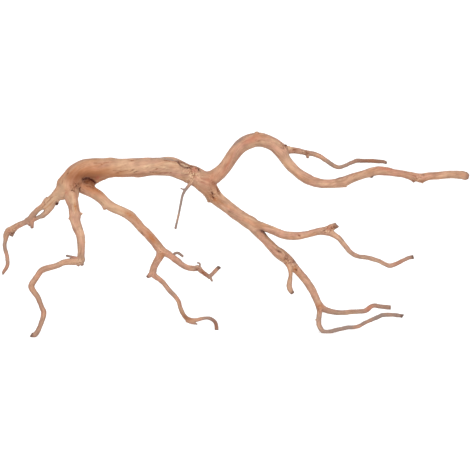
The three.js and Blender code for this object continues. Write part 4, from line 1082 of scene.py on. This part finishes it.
# %% Bare bogwood: dull, rose and tan, streaked along the grain
bogwood = bpy.data.materials.new("bare_bogwood")
bogwood.use_nodes = True
tree = bogwood.node_tree
shader = tree.nodes["Principled BSDF"]
grain_vector = add(tree, "ShaderNodeAttribute", {"attribute_name": "grain"}, {}).outputs["Vector"]
place = add(tree, "ShaderNodeTexCoord", {}, {}).outputs["Object"]
colour = WOOD
for width, low, high, amount, tone in STREAKS:
    noise = add(tree, "ShaderNodeTexNoise", {}, {"Vector": grain_vector, "Scale": 1 / width, "Detail": 3.0})
    shown = add(
        tree, "ShaderNodeMapRange", {"interpolation_type": "SMOOTHSTEP"},
        {"Value": noise.outputs["Fac"], "From Min": low, "From Max": high, "To Max": amount},
    ).outputs["Result"]
    mix = add(tree, "ShaderNodeMix", {"data_type": "RGBA"}, {FACTOR: shown, FIRST: colour, SECOND: tone})
    colour = mix.outputs[2]

# %% Mottling, the tints of each place, and the fleck of fibre ends
MOTTLE = 0.009  # in metres, as Object coordinates are
mottle = add(tree, "ShaderNodeTexNoise", {}, {"Vector": place, "Scale": 1 / MOTTLE, "Detail": 2.0})
light_or_dark = add(
    tree, "ShaderNodeMapRange", {},
    {"Value": mottle.outputs["Fac"], "From Min": 0.3, "From Max": 0.7, "To Min": 0.83, "To Max": 1.15},
).outputs["Result"]
colour = add(
    tree, "ShaderNodeMix", {"data_type": "RGBA", "blend_type": "MULTIPLY"},
    {FACTOR: 1.0, FIRST: colour, SECOND: light_or_dark},
).outputs[2]
for name, tone in TINT_COLOURS.items():
    strength = add(tree, "ShaderNodeAttribute", {"attribute_name": name}, {}).outputs["Fac"]
    mix = add(tree, "ShaderNodeMix", {"data_type": "RGBA"}, {FACTOR: strength, FIRST: colour, SECOND: tone})
    colour = mix.outputs[2]
tree.links.new(colour, shader.inputs["Base Color"])
# Dry wood hardly shines. The faint sheen is the light on the fibre ends.
shader.inputs["Roughness"].default_value = 0.74
shader.inputs["Specular IOR Level"].default_value = 0.1
shader.inputs["Sheen Weight"].default_value = 0.1
shader.inputs["Sheen Roughness"].default_value = 0.5
FIBRE_WIDTH = 1.1  # in mm, coarser than a real fibre so that it shows
fibres = add(
    tree, "ShaderNodeTexNoise", {},
    {"Vector": grain_vector, "Scale": 1 / FIBRE_WIDTH, "Detail": 4.0, "Roughness": 0.6},
).outputs["Fac"]
bump = add(tree, "ShaderNodeBump", {}, {"Strength": 0.4, "Distance": 0.0006, "Height": fibres})
tree.links.new(bump.outputs["Normal"], shader.inputs["Normal"])
for piece in pieces:
    piece.data.materials.append(bogwood)
print("wood nodes:", len(tree.nodes))

# %% [markdown]
# ## Floor, light and camera
#
# The photograph is a cut-out on white. A soft key light comes from above and in front, and a low fill opens
# the undersides. A weak light from behind keeps the back readable and leaves the limbs' rims a little darker
# than the white. The floor and the backdrop look white to the camera, and light the wood less than that.

# %% Floor and background
scene = bpy.context.scene
HALF = 40.0  # in metres
paper_corners = [(-HALF, -HALF, 0), (HALF, -HALF, 0), (HALF, HALF, 0), (-HALF, HALF, 0)]
floor_mesh = bpy.data.meshes.new("floor")
floor_mesh.from_pydata(paper_corners, [], [(0, 1, 2, 3)])
floor = bpy.data.objects.new("floor", floor_mesh)
scene.collection.objects.link(floor)
floor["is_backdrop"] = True
paper = bpy.data.materials.new("white_paper")
paper.use_nodes = True
paper_shader = paper.node_tree.nodes["Principled BSDF"]
paper_shader.inputs["Base Color"].default_value = linear("e6e6e6")
paper_shader.inputs["Roughness"].default_value = 0.9
paper_shader.inputs["Specular IOR Level"].default_value = 0.1
paper_shader.inputs["Emission Color"].default_value = (1, 1, 1, 1)
seen = add(paper.node_tree, "ShaderNodeLightPath", {}, {}).outputs["Is Camera Ray"]
glow = add(paper.node_tree, "ShaderNodeMapRange", {}, {"Value": seen, "To Min": 0.25, "To Max": 0.5})
paper.node_tree.links.new(glow.outputs["Result"], paper_shader.inputs["Emission Strength"])
floor_mesh.materials.append(paper)

world = scene.world or bpy.data.worlds.new("studio")
scene.world = world
world.use_nodes = True
sky = world.node_tree
sky.nodes.clear()
DIM = 0.28  # the backdrop's strength for the wood
seen = add(sky, "ShaderNodeLightPath", {}, {}).outputs["Is Camera Ray"]
strength = add(sky, "ShaderNodeMapRange", {}, {"Value": seen, "To Min": DIM, "To Max": 1.0}).outputs["Result"]
backdrop = add(sky, "ShaderNodeBackground", {}, {"Color": (1, 1, 1, 1), "Strength": strength})
add(sky, "ShaderNodeOutputWorld", {}, {"Surface": backdrop.outputs["Background"]})

# %% Lights
def far_light(name, from_left, from_above, spread, strength):
    """A distant soft light. Angles in degrees: to the viewer's left of straight ahead, above the floor, and
    how wide it looks from the wood. Its strength is in watts for each square metre."""
    data = bpy.data.lights.new(name, "SUN")
    data.angle, data.energy = math.radians(spread), strength
    light = bpy.data.objects.new(name, data)
    light.rotation_euler = (math.radians(90 - from_above), 0, math.radians(-from_left))
    scene.collection.objects.link(light)


far_light("key", 6, 50, 45, 2.05)
far_light("fill", -10, 6, 70, 1.4)
far_light("back", 170, 16, 90, 0.6)

# %% Camera
from mathutils import Vector

# So far off, with so long a lens, that the view is almost without perspective, as the leaning sheet is.
MIDDLE = (0, 0.0027, 0.1232)  # what it looks at, in metres
CAMERA_DISTANCE = 16.0
LENS = 980.4  # in mm
camera_data = bpy.data.cameras.new("camera")
camera_data.lens = LENS
camera_data.sensor_width = 36.0
camera_data.clip_end = 200
camera = bpy.data.objects.new("camera", camera_data)
camera.location = Vector(MIDDLE) + CAMERA_DISTANCE * Vector(
    (0, -math.cos(SHEET_LEAN), math.sin(SHEET_LEAN))
)
camera.rotation_euler = (math.radians(90) - SHEET_LEAN, 0, 0)
scene.collection.objects.link(camera)
scene.camera = camera
scene.view_settings.view_transform = "Standard"
print("camera:", camera.location[:])

# %% Sizes
size = {"cad": [list(corner) for corner in cad_box], "visual": [list(corner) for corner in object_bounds()]}
print("size:", size)
